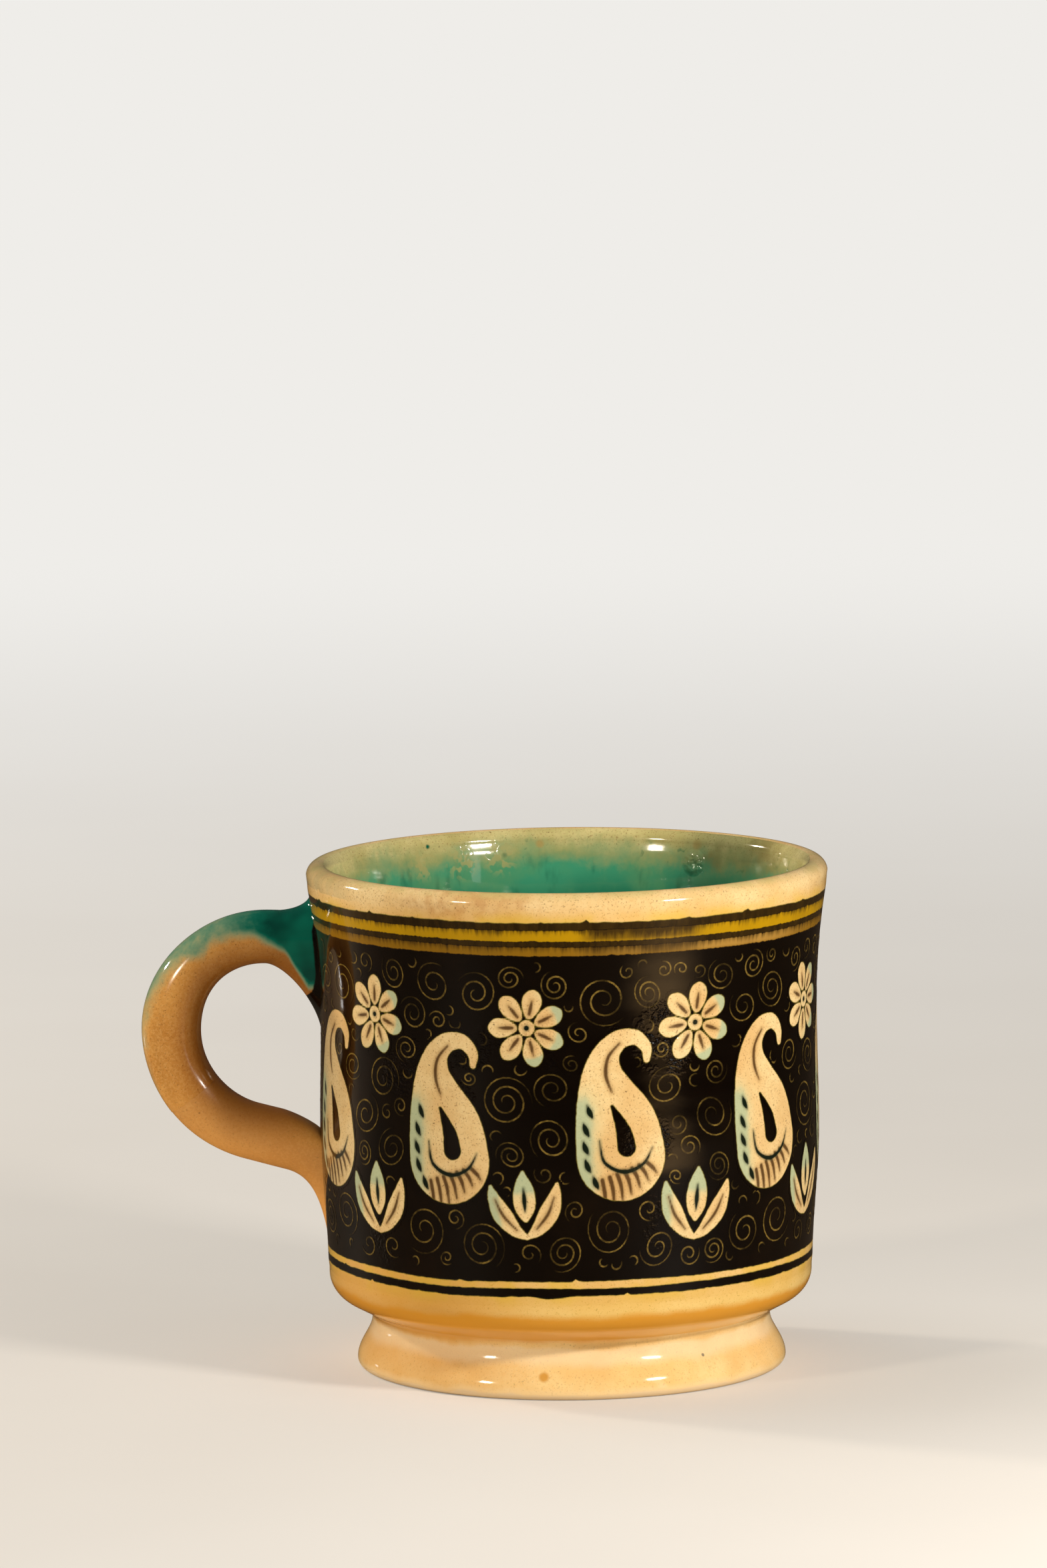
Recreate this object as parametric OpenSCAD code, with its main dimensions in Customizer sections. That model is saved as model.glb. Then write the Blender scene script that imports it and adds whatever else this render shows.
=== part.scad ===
// A thrown clay mug on a low flared foot, with a round strap handle.
// Millimetres, +Z up. The origin is the middle of the foot's resting face and
// the handle stands towards -X. Every coloured slip and glaze that lies on the
// clay as a layer of its own is a separate skin, seated on the piece it covers.

/* [Cup] */
// Outer diameter of the rim
rim_d = 92; // [86:1:98]
// Height from the table to the crest of the rim
mug_h = 89.6; // [84:0.2:96]
// Outer diameter of the slightly narrower waist
waist_d = 87.4; // [84:0.2:88]
// Outer diameter of the slight swelling below the waist
belly_d = 88; // [85:0.2:90]
// Outer diameter just above the rolled bottom edge
base_d = 85.6; // [82:0.2:88]
// Thickness of the thrown wall, which is also that of the round rim
wall_t = 4.5; // [3.5:0.1:5.5]
// Thickness of the floor
floor_t = 5.8; // [4:0.2:8]
// Radius of the rolled bottom edge
roll_r = 5; // [3.5:0.1:6]
// Slope of the underside between the rolled edge and the neck, in degrees
under_slope = 28; // [20:1:34]
// Radius of the curve between floor and wall inside
inside_r = 9; // [5:0.5:12]

/* [Foot] */
// Height of the foot, up to the underside of the cup
foot_h = 9.8; // [7:0.2:12]
// Largest diameter of the flared foot
foot_d = 76; // [73:0.5:80]
// Diameter of the neck, where foot and cup meet
neck_d = 70.6; // [67:0.2:72]
// Width of the foot's ring at the neck
foot_ring_w = 5.4; // [4:0.2:7]
// Radius of the foot's rounded lower edge
foot_edge_r = 1.2; // [0.8:0.1:1.6]
// Radius of the hollow that the coil of soft clay leaves in the neck
coil_r = 2; // [1.4:0.1:2.6]
// How far the coil is seated into the foot's upper edge
coil_seat = 1.6; // [1:0.1:2.4]

/* [Handle] */
// How far the handle stands out beyond the rim
handle_reach = 29.4; // [27:0.2:33]
// Thickness of the round handle
handle_t = 10.6; // [9:0.2:11.6]
// Drop from the crest of the rim to the middle of the upper root
upper_root_drop = 13; // [12:0.2:15]
// Radius of the upper bend, along the middle of the handle
upper_bend_r = 16.6; // [15:0.2:18]
// Radius of the lower bend, along the middle of the handle
lower_bend_r = 18.8; // [17:0.2:20]
// Slope at which the lower end falls to the wall, in degrees
handle_fall = 15; // [8:1:20]
// Radius of the fillet of soft clay round each root
wad_r = 3.4; // [2.6:0.1:4]
// How far the tongue thumbed down the wall runs past the black field's lower edge
tail_past = 0.1; // [0:0.1:0.8]
// How far the tongue stands off the wall at its thick end
tail_t = 1.8; // [1.2:0.1:2.4]

/* [Slips and glazes] */
// Thickness of each coloured slip
slip_t = 0.25; // [0.15:0.05:0.4]
// Thickness of the poured glazes
glaze_t = 0.3; // [0.2:0.05:0.5]
// Drop from the crest of the rim to the top black line
top_line_drop = 4.9; // [4:0.1:6]
// Width of the top black line
top_line_w = 1.3; // [0.8:0.1:1.8]
// Width of the yellow stripe
yellow_w = 2.1; // [1.5:0.1:2.6]
// Width of the black line between the two stripes
middle_line_w = 0.8; // [0.5:0.1:1.2]
// Width of the amber stripe
amber_w = 1.7; // [1.2:0.1:2.2]
// Height of the lower black line's bottom edge above the table
lower_line_rise = 20; // [19:0.1:22]
// Width of the lower black line
lower_line_w = 1.3; // [1:0.1:1.8]
// Width of the bare line above it
bare_line_w = 1.3; // [0.9:0.1:1.6]
// Part of the upper bend that the green glaze has run down, in degrees
green_run = 62; // [40:1:80]

/* [Hidden] */
$fn = 96;

rim_r = rim_d / 2;
waist_r = waist_d / 2;
belly_r = belly_d / 2;
base_r = base_d / 2;
neck_r = neck_d / 2;
foot_r = foot_d / 2;
lip_r = wall_t / 2;
lip_z = mug_h - lip_r;
wall_steps = 8;
curve_steps = 10;

// The rolled edge leaves the underside where the slope touches it
roll_mid_r = base_r - roll_r;
under_len = roll_mid_r + roll_r * sin(under_slope) - neck_r;
roll_low_z = foot_h + under_len * tan(under_slope);
roll_z = roll_low_z + roll_r * cos(under_slope);
floor_z = foot_h + floor_t;

// Waist and belly lie at these shares of the wall between roll and lip
waist_share = 0.645;
belly_share = 0.36;
waist_z = roll_z + (lip_z - roll_z) * waist_share;
belly_z = roll_z + (lip_z - roll_z) * belly_share;

// Heights of the slips' edges, from the rim down and from the table up
top_line_z = mug_h - top_line_drop;
yellow_top_z = top_line_z - top_line_w;
yellow_low_z = yellow_top_z - yellow_w;
amber_top_z = yellow_low_z - middle_line_w;
amber_low_z = amber_top_z - amber_w;
lower_line_top_z = lower_line_rise + lower_line_w;
field_low_z = lower_line_top_z + bare_line_w;

function ease(s) = (1 - cos(180 * s)) / 2;
function blend(a, b, s) = a + (b - a) * ease(s);

// Outer radius of the wall: flared above the waist, gently swelling below it
function wall_r(z) =
    z > waist_z ? waist_r + (rim_r - waist_r) * pow((z - waist_z) / (lip_z - waist_z), 2)
    : z > belly_z ? blend(belly_r, waist_r, (z - belly_z) / (waist_z - belly_z))
    : blend(base_r, belly_r, (z - roll_z) / (belly_z - roll_z));

function span(a, b, steps) = [for (i = [0:steps]) a + (b - a) * i / steps];

// Heights at which the wall is drawn, shared by its outer and inner faces
wall_zs = concat(span(roll_z, belly_z, wall_steps),
                 [for (i = [1:wall_steps]) span(belly_z, waist_z, wall_steps)[i]],
                 [for (i = [1:wall_steps]) span(waist_z, lip_z, wall_steps)[i]]);

function arc(cx, cz, r, a0, a1) =
    [for (a = span(a0, a1, curve_steps)) [cx + r * cos(a), cz + r * sin(a)]];

outer_face = concat([[0, foot_h], [neck_r, foot_h]],
                    arc(roll_mid_r, roll_z, roll_r, under_slope - 90, 0),
                    [for (z = wall_zs) [wall_r(z), z]]);

// Inner face from the lip down to the middle of the floor, moved in by a skin
inside_low_z = floor_z + inside_r;
function inner_face(skin) =
    concat([for (i = [len(wall_zs) - 1:-1:0])
                if (wall_zs[i] > inside_low_z) [wall_r(wall_zs[i]) - wall_t - skin, wall_zs[i]]],
           arc(wall_r(inside_low_z) - wall_t - inside_r, inside_low_z, inside_r - skin, 0, -90),
           [[0, floor_z + skin]]);

lip_face = [for (a = span(0, 180, 2 * curve_steps))
                [rim_r - lip_r + lip_r * cos(a), lip_z + lip_r * sin(a)]];

module cup_blank() {
    rotate_extrude()
        polygon(concat(outer_face, [[0, lip_z]]));
}

module cup() {
    color("wheat")
        rotate_extrude()
            polygon(concat(outer_face, lip_face, inner_face(0)));
}

// The coil of soft clay pressed into the neck is hollowed by a finger. Its face
// leaves the foot upright at the ledge and touches the cup's sloping underside.
ledge_z = foot_h - coil_r * (1 - sin(under_slope)) / cos(under_slope);
seat_r = neck_r - coil_seat;

module foot_coil() {
    color("goldenrod")
        rotate_extrude()
            polygon(concat([[seat_r, foot_h], [seat_r, ledge_z]],
                           arc(neck_r + coil_r, ledge_z, coil_r, 180, 90 + under_slope),
                           [[neck_r, foot_h]]));
}

// Foot: an eased flare from the coil's ledge to the widest place, then a
// rounded edge. The ledge is the rebate that the coil is pressed into.
foot_edge_z = foot_edge_r;
foot_steps = 12;
hollow_top_r = neck_r - foot_ring_w;
hollow_draft_share = 0.35;
hollow_low_r = hollow_top_r + (foot_r - neck_r) * hollow_draft_share;

module foot() {
    color("burlywood")
        rotate_extrude()
            polygon(concat([[hollow_top_r, foot_h], [hollow_low_r, 0]],
                           arc(foot_r - foot_edge_r, foot_edge_z, foot_edge_r, -90, 0),
                           [for (i = [1:foot_steps])
                               [blend(foot_r, neck_r, i / foot_steps),
                                foot_edge_z + (ledge_z - foot_edge_z) * i / foot_steps]],
                           [[seat_r, ledge_z], [seat_r, foot_h]]));
}

// Handle: a straight start, two bends of different radius and a falling end
half_t = handle_t / 2;
upper_z = mug_h - upper_root_drop;
bend_z = upper_z - upper_bend_r;
mid_x = rim_r + handle_reach - half_t;
upper_bend_x = mid_x - upper_bend_r;
lower_bend_x = mid_x - lower_bend_r;
end_x = lower_bend_x + lower_bend_r * sin(handle_fall);
end_z = bend_z - lower_bend_r * cos(handle_fall);
root_depth = wall_t / 2;
upper_root_x = wall_r(upper_z) - root_depth;
lower_root_z = end_z - (end_x - belly_r) * tan(handle_fall);
lower_root_x = wall_r(lower_root_z) - root_depth;
end_run = (end_x - lower_root_x) / cos(handle_fall);

// The falling end is a little thinner than the bend, and starts inside it
end_thin_share = 0.98;
end_lap_share = 0.1;
end_r = half_t * end_thin_share;
end_lap = half_t * end_lap_share;

// A round bar from here towards the cup
module straight(len, r) {
    rotate([0, -90, 0])
        cylinder(h = len, r = r);
}

// A round bar bent about the Y axis, from the outermost place upwards
module bend(radius, turn, r) {
    rotate([90, 0, 0])
        rotate_extrude(angle = turn)
            translate([radius, 0])
                circle(r);
}

// Places its children on the mug's left, where the handle stands
module on_handle_side() {
    mirror([1, 0, 0])
        children();
}

// Sets its children on the axis of the handle's falling end, at the wall
module at_lower_root() {
    translate([wall_r(lower_root_z), 0, lower_root_z])
        rotate([0, -handle_fall, 0])
            children();
}

module handle_bar() {
    translate([upper_bend_x, 0, upper_z])
        straight(upper_bend_x - upper_root_x, half_t);
    translate([upper_bend_x, 0, bend_z])
        bend(upper_bend_r, 90, half_t);
    translate([lower_bend_x, 0, bend_z])
        mirror([0, 0, 1])
            bend(lower_bend_r, 90 - handle_fall, half_t);
    translate([end_x, 0, end_z])
        rotate([0, -handle_fall, 0])
            translate([end_lap, 0, 0])
                straight(end_run + end_lap, end_r);
}

module handle() {
    color("peru")
        difference() {
            on_handle_side()
                handle_bar();
            cup_blank();
        }
}

// A fillet of clay round a root: it reaches wad_r along the wall and along the
// handle, and its edges are blunt
wad_depth = wall_t;
wad_edge_share = 0.14;
wad_edge = wad_r * wad_edge_share;
wad_reach = half_t + wad_r;

module root_fillet() {
    rotate([0, 90, 0])
        rotate_extrude()
            difference() {
                translate([0, -wad_depth])
                    square([wad_reach, wad_depth + wad_r]);
                translate([wad_reach + wad_edge, wad_r + wad_edge])
                    circle(wad_r);
            }
}

// The space that a root and its fillet take out of the slips on the wall
module root_plug() {
    translate([wad_r, 0, 0])
        straight(wad_depth + wad_r, wad_reach);
}

module upper_root_wad() {
    color("darkcyan")
        difference() {
            on_handle_side()
                difference() {
                    translate([wall_r(upper_z), 0, upper_z])
                        root_fillet();
                    handle_bar();
                }
            cup_blank();
        }
}

// The tongue is a slender cone laid against the wall, sunk so that only its
// outer side shows: thick under the root and thin at its lower end
tail_end_share = 0.3;
tail_edge_share = 0.15;
tail_end_r = half_t * tail_end_share;
tail_end_z = field_low_z - tail_past;
tail_len = lower_root_z - tail_end_z;
tail_top_x = belly_r + tail_t - half_t;
tail_end_x = wall_r(tail_end_z) + tail_t * tail_edge_share - tail_end_r;
tail_lean = atan2(tail_top_x - tail_end_x, tail_len);
tail_run = tail_len / cos(tail_lean);

module tongue() {
    translate([tail_end_x, 0, tail_end_z])
        rotate([0, tail_lean, 0])
            cylinder(h = tail_run, r1 = tail_end_r, r2 = half_t);
}

module lower_root_wad() {
    color("sienna")
        difference() {
            on_handle_side()
                difference() {
                    union() {
                        at_lower_root()
                            root_fillet();
                        tongue();
                    }
                    handle_bar();
                }
            cup_blank();
        }
}

// Poured glaze inside the cup, from the middle of the floor to the lip
module glaze_lining() {
    skin_face = inner_face(glaze_t);
    color("seagreen")
        rotate_extrude()
            polygon(concat([for (i = [len(skin_face) - 1:-1:0]) skin_face[i]], inner_face(0)));
}

// A ring of slip on the wall between two heights. Both its faces follow the
// wall, and the inner one starts deep enough for the cup to cut it.
ring_steps = 12;
module slip_ring(low_z, high_z) {
    difference() {
        rotate_extrude()
            polygon(concat([for (z = span(high_z, low_z, ring_steps)) [wall_r(z) - wall_t / 2, z]],
                           [for (z = span(low_z, high_z, ring_steps)) [wall_r(z) + slip_t, z]]));
        cup_blank();
        on_handle_side() {
            translate([wall_r(upper_z), 0, upper_z])
                root_plug();
            at_lower_root()
                root_plug();
            tongue();
        }
    }
}

module black_slip_field() {
    color([0.09, 0.07, 0.05])
        slip_ring(field_low_z, amber_low_z);
}

module black_slip_lines() {
    color([0.09, 0.07, 0.05]) {
        slip_ring(yellow_top_z, top_line_z);
        slip_ring(amber_top_z, yellow_low_z);
        slip_ring(lower_line_rise, lower_line_top_z);
    }
}

module yellow_slip_stripe() {
    color([0.78, 0.6, 0.08])
        slip_ring(yellow_low_z, yellow_top_z);
}

module amber_slip_stripe() {
    color([0.45, 0.3, 0.1])
        slip_ring(amber_low_z, amber_top_z);
}

// Green glaze on the handle, from the upper root part of the way round the
// bend. The wedge takes away what lies further round.
module green_handle_glaze() {
    glazed_r = half_t + glaze_t;
    color("teal")
        on_handle_side()
            difference() {
                union() {
                    translate([upper_bend_x, 0, upper_z])
                        straight(upper_bend_x - wall_r(upper_z) - wad_r, glazed_r);
                    translate([upper_bend_x, 0, bend_z])
                        bend(upper_bend_r, 90, glazed_r);
                }
                handle_bar();
                translate([upper_bend_x, 0, bend_z])
                    rotate([90, 0, 0])
                        rotate_extrude(angle = 90 - green_run)
                            translate([0, -handle_t])
                                square([upper_bend_r + handle_t, 2 * handle_t]);
            }
}

cup();
foot();
foot_coil();
handle();
upper_root_wad();
lower_root_wad();
glaze_lining();
black_slip_field();
black_slip_lines();
yellow_slip_stripe();
amber_slip_stripe();
green_handle_glaze();
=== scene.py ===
# %% [markdown]
# # A thrown clay mug on a foot, with a round handle
#
# The real mug is made in layers. A potter throws the cup and the foot, joins
# them with a coil of soft clay, and presses a pulled handle on with two wads.
# Then the mug is dipped in cream slip, bands of black, yellow and amber slip
# are brushed on the turning wheel, and the pattern is left bare or scratched
# through the black. A green glaze is poured inside and a clear one outside.
# This script builds the layers in the same order, on the solids of the part.

import math
import random
from collections import namedtuple

import bmesh
import bpy
import numpy as np
from mathutils import Matrix, Vector, noise


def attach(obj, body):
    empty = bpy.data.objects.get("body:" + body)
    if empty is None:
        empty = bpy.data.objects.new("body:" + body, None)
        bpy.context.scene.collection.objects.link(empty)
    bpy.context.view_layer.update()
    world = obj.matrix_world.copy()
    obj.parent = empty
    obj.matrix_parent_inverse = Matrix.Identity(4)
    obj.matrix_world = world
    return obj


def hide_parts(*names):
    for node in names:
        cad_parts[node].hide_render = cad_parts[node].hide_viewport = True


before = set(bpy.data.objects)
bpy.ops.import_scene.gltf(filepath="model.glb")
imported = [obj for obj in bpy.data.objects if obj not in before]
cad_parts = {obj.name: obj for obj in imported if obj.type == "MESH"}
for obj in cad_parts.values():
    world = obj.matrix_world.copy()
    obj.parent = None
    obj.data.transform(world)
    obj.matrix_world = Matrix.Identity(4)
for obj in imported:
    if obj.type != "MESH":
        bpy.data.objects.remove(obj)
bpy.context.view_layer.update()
print("nodes:", sorted(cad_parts))

# %% [markdown]
# ## The camera
#
# The photograph was taken with a long lens from a little above the rim. Its
# height, tilt and lens were worked out from the ellipses of the rim and the
# bands, which fix them well. A long lens keeps the ellipses of rim and foot
# nearly alike, so it matters more than the distance does.

# %% Set up the camera
MM = 0.001
PHOTO_H = 2349
SENSOR = 36.0
CAMERA_DISTANCE = 1500 * MM
CAMERA_TILT = math.radians(7.133)
CAMERA_ROLL = math.radians(-0.642)
CAMERA_TARGET = Vector((-7.463, 0, 103.05)) * MM
FOCAL_PIXELS = 12766.9


def aim_camera():
    """A camera that looks along +Y and a little down at the target."""
    lens = bpy.data.cameras.new("photo_camera")
    lens.sensor_width = SENSOR
    lens.lens = FOCAL_PIXELS * SENSOR / PHOTO_H
    lens.clip_end = 50
    forward = Vector((0, math.cos(CAMERA_TILT), -math.sin(CAMERA_TILT)))
    right = Vector((1, 0, 0))
    up = right.cross(forward)
    rolled_right = right * math.cos(CAMERA_ROLL) + up * math.sin(CAMERA_ROLL)
    rolled_up = up * math.cos(CAMERA_ROLL) - right * math.sin(CAMERA_ROLL)
    camera = bpy.data.objects.new("photo_camera", lens)
    turned = Matrix((rolled_right, rolled_up, -forward)).transposed().to_4x4()
    camera.matrix_world = Matrix.Translation(CAMERA_TARGET - forward * CAMERA_DISTANCE) @ turned
    bpy.context.scene.collection.objects.link(camera)
    bpy.context.scene.camera = camera
    return camera


photo_camera = aim_camera()
print("lens:", round(photo_camera.data.lens, 1), "mm")

# %% [markdown]
# ## The sizes and the wall
#
# Everything on the outside lies on the same thrown wall: the slips, the
# pattern and the handle's roots. So the wall is written once, as a radius at
# each height, and every layer asks it where it is. Sizes are in millimetres,
# and each finished mesh is scaled to metres.

# %% Sizes of the mug, in millimetres
MUG_H = 89.6
RIM_R = 46.0
WAIST_R = 43.7
BELLY_R = 44.0
BASE_R = 42.8
WAIST_SHARE = 0.645
BELLY_SHARE = 0.36
WALL_T = 4.5
FLOOR_T = 5.8
ROLL_R = 5.0
UNDER_SLOPE = 28.0
INSIDE_R = 9.0
FOOT_H = 9.8
FOOT_R = 38.0
NECK_R = 35.3
FOOT_RING_W = 5.4
FOOT_EDGE_R = 1.2
COIL_R = 2.0
LIP_R = WALL_T / 2
LIP_Z = MUG_H - LIP_R
FLOOR_Z = FOOT_H + FLOOR_T
ROLL_MID_R = BASE_R - ROLL_R
UNDER_LEN = ROLL_MID_R + ROLL_R * math.sin(math.radians(UNDER_SLOPE)) - NECK_R
ROLL_Z = (FOOT_H + UNDER_LEN * math.tan(math.radians(UNDER_SLOPE))
          + ROLL_R * math.cos(math.radians(UNDER_SLOPE)))
WAIST_Z = ROLL_Z + (LIP_Z - ROLL_Z) * WAIST_SHARE
BELLY_Z = ROLL_Z + (LIP_Z - ROLL_Z) * BELLY_SHARE
# Heights of the slips' edges
TOP_LINE_Z = 84.7
YELLOW_TOP_Z = 83.4
YELLOW_LOW_Z = 81.3
AMBER_TOP_Z = 80.5
AMBER_LOW_Z = 78.8
FIELD_LOW_Z = 21.85
LOWER_LINE_TOP_Z = 20.75
LOWER_LINE_Z = 19.25
print("roll at", round(ROLL_Z, 2), "belly", round(BELLY_Z, 2), "waist", round(WAIST_Z, 2))


# %% The wall, and a place on it
def ease(s):
    return (1 - math.cos(math.pi * s)) / 2


def blend(a, b, s):
    return a + (b - a) * ease(s)


def span(a, b, steps):
    return [a + (b - a) * i / steps for i in range(steps + 1)]


def wall_r(z):
    """Outer radius of the wall: flared above the waist, gently swelling below it."""
    if z > WAIST_Z:
        return WAIST_R + (RIM_R - WAIST_R) * ((z - WAIST_Z) / (LIP_Z - WAIST_Z)) ** 2
    if z > BELLY_Z:
        return blend(BELLY_R, WAIST_R, (z - BELLY_Z) / (WAIST_Z - BELLY_Z))
    return blend(BASE_R, BELLY_R, (z - ROLL_Z) / (BELLY_Z - ROLL_Z))


# The throwing's unevenness, as shares of the radius, and how close the finger rings lie
LEAN = 0.0035
RING = 0.00014
RING_TURN = 1.45


def thrown(angle, z):
    """The hand in the throwing: a factor on the radius, a slow lean and faint finger rings."""
    around = Vector((math.cos(angle), math.sin(angle), z / 45))
    lean = min(0, noise.noise(around * 1.2) - 0.45) * LEAN
    rings = (math.sin(z * RING_TURN + angle) - 1) * RING
    return 1 + lean + rings


BAND_R = 44.0
GIRTH = 2 * math.pi * BAND_R
FRONT = -math.pi / 2


def on_wall(u, z, stand):
    """The place u millimetres round from the front, z high and stand out from the wall."""
    angle = FRONT + u / BAND_R
    r = (wall_r(z) + stand) * thrown(angle, z)
    return Vector((r * math.cos(angle), r * math.sin(angle), z))


def way_round(u):
    """A distance round the wall by the shorter way, below 0 towards the left."""
    return (u + GIRTH / 2) % GIRTH - GIRTH / 2


print("wall radius at mid height:", round(wall_r(MUG_H / 2), 2))

# %% [markdown]
# ## Helpers for clay
#
# Thrown pieces are turned: a profile is drawn once and spun about the axis.
# Everything else here is a sheet: a grid of cells whose corners are laid on a
# shape by a rule. Both are made a little uneven by the same thrown() factor,
# so that layers follow each other and never cross.


# %% Spin a profile, lay a sheet, finish a piece
LATHE_STEPS = 256
# Corners that lie closer than this are made one
MERGE = 0.002


def lathe(profile):
    """A profile of (radius, height) points, spun about the mug's axis."""
    bm = bmesh.new()
    points = [bm.verts.new((r, 0, z)) for r, z in profile]
    lines = [bm.edges.new(pair) for pair in zip(points, points[1:])]
    bmesh.ops.spin(bm, geom=points + lines, cent=(0, 0, 0), axis=(0, 0, 1), dvec=(0, 0, 0),
                   angle=2 * math.pi, steps=LATHE_STEPS, use_merge=True)
    bmesh.ops.remove_doubles(bm, verts=bm.verts, dist=MERGE)
    for v in bm.verts:
        factor = thrown(math.atan2(v.co.y, v.co.x), v.co.z)
        v.co.x *= factor
        v.co.y *= factor
    bmesh.ops.recalc_face_normals(bm, faces=bm.faces)
    return bm


def sheet(columns, rows, place, wrap=False):
    """A grid laid out by place(u, v), where u and v run from 0 to 1."""
    bm = bmesh.new()
    bmesh.ops.create_grid(bm, x_segments=columns, y_segments=rows, size=0.5)
    for v in bm.verts:
        v.co = place(v.co.x + 0.5, v.co.y + 0.5)
    if wrap:
        bmesh.ops.remove_doubles(bm, verts=bm.verts, dist=MERGE)
    return bm


def finish_piece(name, bm, finish, nodes):
    """Makes the mesh a piece of the mug, in metres, standing for these solids if any."""
    bmesh.ops.scale(bm, vec=(MM, MM, MM), verts=bm.verts)
    mesh = bpy.data.meshes.new(name)
    bm.to_mesh(mesh)
    bm.free()
    mesh.shade_smooth()
    mesh.materials.append(finish)
    obj = bpy.data.objects.new(name, mesh)
    bpy.context.scene.collection.objects.link(obj)
    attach(obj, "root")
    if nodes:
        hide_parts(*nodes)
    print(name, "faces:", len(mesh.polygons))
    return obj


def arc(cx, cz, r, start, end, steps=14):
    """Points of an arc, by its middle, radius and two angles in degrees."""
    return [(cx + r * math.cos(math.radians(a)), cz + r * math.sin(math.radians(a)))
            for a in span(start, end, steps)]


# %% [markdown]
# ## Helpers for finishes
#
# A finish is a recipe of small textures. A painter adds its nodes one by one,
# and takes a number, a colour or another node's output for any socket, so a
# recipe reads from top to bottom. Textures read Object coordinates, which are
# metres: a scale of 1000 gives a grain of about a millimetre. Places and
# heights in a recipe are in millimetres, like all sizes here.


# %% Colours and nodes
def srgb(code):
    """A colour as a painter's hex code, in the renderer's linear numbers."""
    parts = [int(code[i:i + 2], 16) / 255 for i in (1, 3, 5)]
    return (*(p / 12.92 if p <= 0.04045 else ((p + 0.055) / 1.055) ** 2.4 for p in parts), 1)


def add(tree, kind, inputs=None, **settings):
    """Adds a node. An input is a value, a hex code or the socket that it is linked from."""
    made = tree.nodes.new(kind)
    for name, value in settings.items():
        setattr(made, name, value)
    for name, value in (inputs or {}).items():
        if isinstance(value, bpy.types.NodeSocket):
            tree.links.new(value, made.inputs[name])
        else:
            made.inputs[name].default_value = srgb(value) if isinstance(value, str) else value
    return made


# %% The painter
class Painter:
    """Adds the nodes of one recipe to its tree."""

    def __init__(self, tree):
        self.tree = tree
        self.place = add(tree, "ShaderNodeTexCoord").outputs["Object"]

    def calc(self, operation, a, b=0.0, c=0.0):
        return add(self.tree, "ShaderNodeMath", {0: a, 1: b, 2: c}, operation=operation).outputs[0]

    def times(self, a, b):
        return self.calc("MULTIPLY", a, b)

    def plus(self, a, b):
        return self.calc("ADD", a, b)

    def minus(self, a, b):
        return self.calc("SUBTRACT", a, b)

    def most(self, a, b):
        return self.calc("MAXIMUM", a, b)

    def mix(self, amount, a, b):
        """Colour a turning into colour b."""
        made = add(self.tree, "ShaderNodeMix", {0: amount, 6: a, 7: b}, data_type="RGBA")
        return made.outputs[2]

    def between(self, value, low, high, to_low=0.0, to_high=1.0):
        """Smoothly from to_low to to_high as value goes from low to high."""
        made = add(self.tree, "ShaderNodeMapRange",
                   {"Value": value, "From Min": low, "From Max": high, "To Min": to_low,
                    "To Max": to_high}, interpolation_type="SMOOTHSTEP")
        return made.outputs["Result"]

    def grain(self, scale, detail=3.0, rough=0.55, upright=1.0):
        """Soft cloudy noise, from 0 to 1. A low upright draws it out into upright streaks."""
        place = self.place
        if upright != 1.0:
            place = add(self.tree, "ShaderNodeMapping",
                        {"Vector": place, "Scale": (1, 1, upright)}).outputs[0]
        made = add(self.tree, "ShaderNodeTexNoise",
                   {"Vector": place, "Scale": scale, "Detail": detail, "Roughness": rough})
        return made.outputs["Fac"]

    def stray(self, cloudy, width):
        """Noise from 0 to 1 as a stray of half this width to either side of 0."""
        return self.calc("MULTIPLY_ADD", cloudy, width, -width / 2)

    def axis(self, name):
        """A coordinate in millimetres: X to the right, Z up."""
        made = add(self.tree, "ShaderNodeSeparateXYZ", {"Vector": self.place})
        return self.times(made.outputs[name], 1 / MM)

    def near(self, point, full, gone, amount=1.0):
        """The amount within full of a point, fading to 0 at gone."""
        apart = add(self.tree, "ShaderNodeVectorMath",
                    {0: self.place, 1: Vector(point) * MM}, operation="DISTANCE")
        return self.between(apart.outputs["Value"], gone * MM, full * MM, 0, amount)

    def near_any(self, places):
        """The same for the nearest of several places, each a point, full, gone and an amount."""
        result = 0.0
        for place in places:
            result = self.most(result, self.near(*place))
        return result

    def attribute(self, name):
        return add(self.tree, "ShaderNodeAttribute", attribute_name=name).outputs["Fac"]

    def use(self, group, **values):
        """Places a group with its own values, and gives its outputs."""
        return add(self.tree, "ShaderNodeGroup", values, node_tree=group).outputs


# %% Groups and glazed finishes
BUMP = 0.4
BUMP_DEPTH = 0.1
GLAZE_IOR = 1.5


def make_group(name, inputs, outputs, recipe):
    """A node group. Inputs are names with usual values, a hex code for a colour, and of the
    outputs only Color is a colour. The recipe gives its results by name."""
    tree = bpy.data.node_groups.new(name, "ShaderNodeTree")
    for socket, usual in inputs.items():
        is_colour = isinstance(usual, str)
        made = tree.interface.new_socket(
            socket, in_out="INPUT", socket_type="NodeSocketColor" if is_colour else "NodeSocketFloat")
        made.default_value = srgb(usual) if is_colour else usual
    for socket in outputs:
        tree.interface.new_socket(
            socket, in_out="OUTPUT",
            socket_type="NodeSocketColor" if socket == "Color" else "NodeSocketFloat")
    given = add(tree, "NodeGroupInput").outputs
    add(tree, "NodeGroupOutput", recipe(Painter(tree), given))
    return tree


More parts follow.
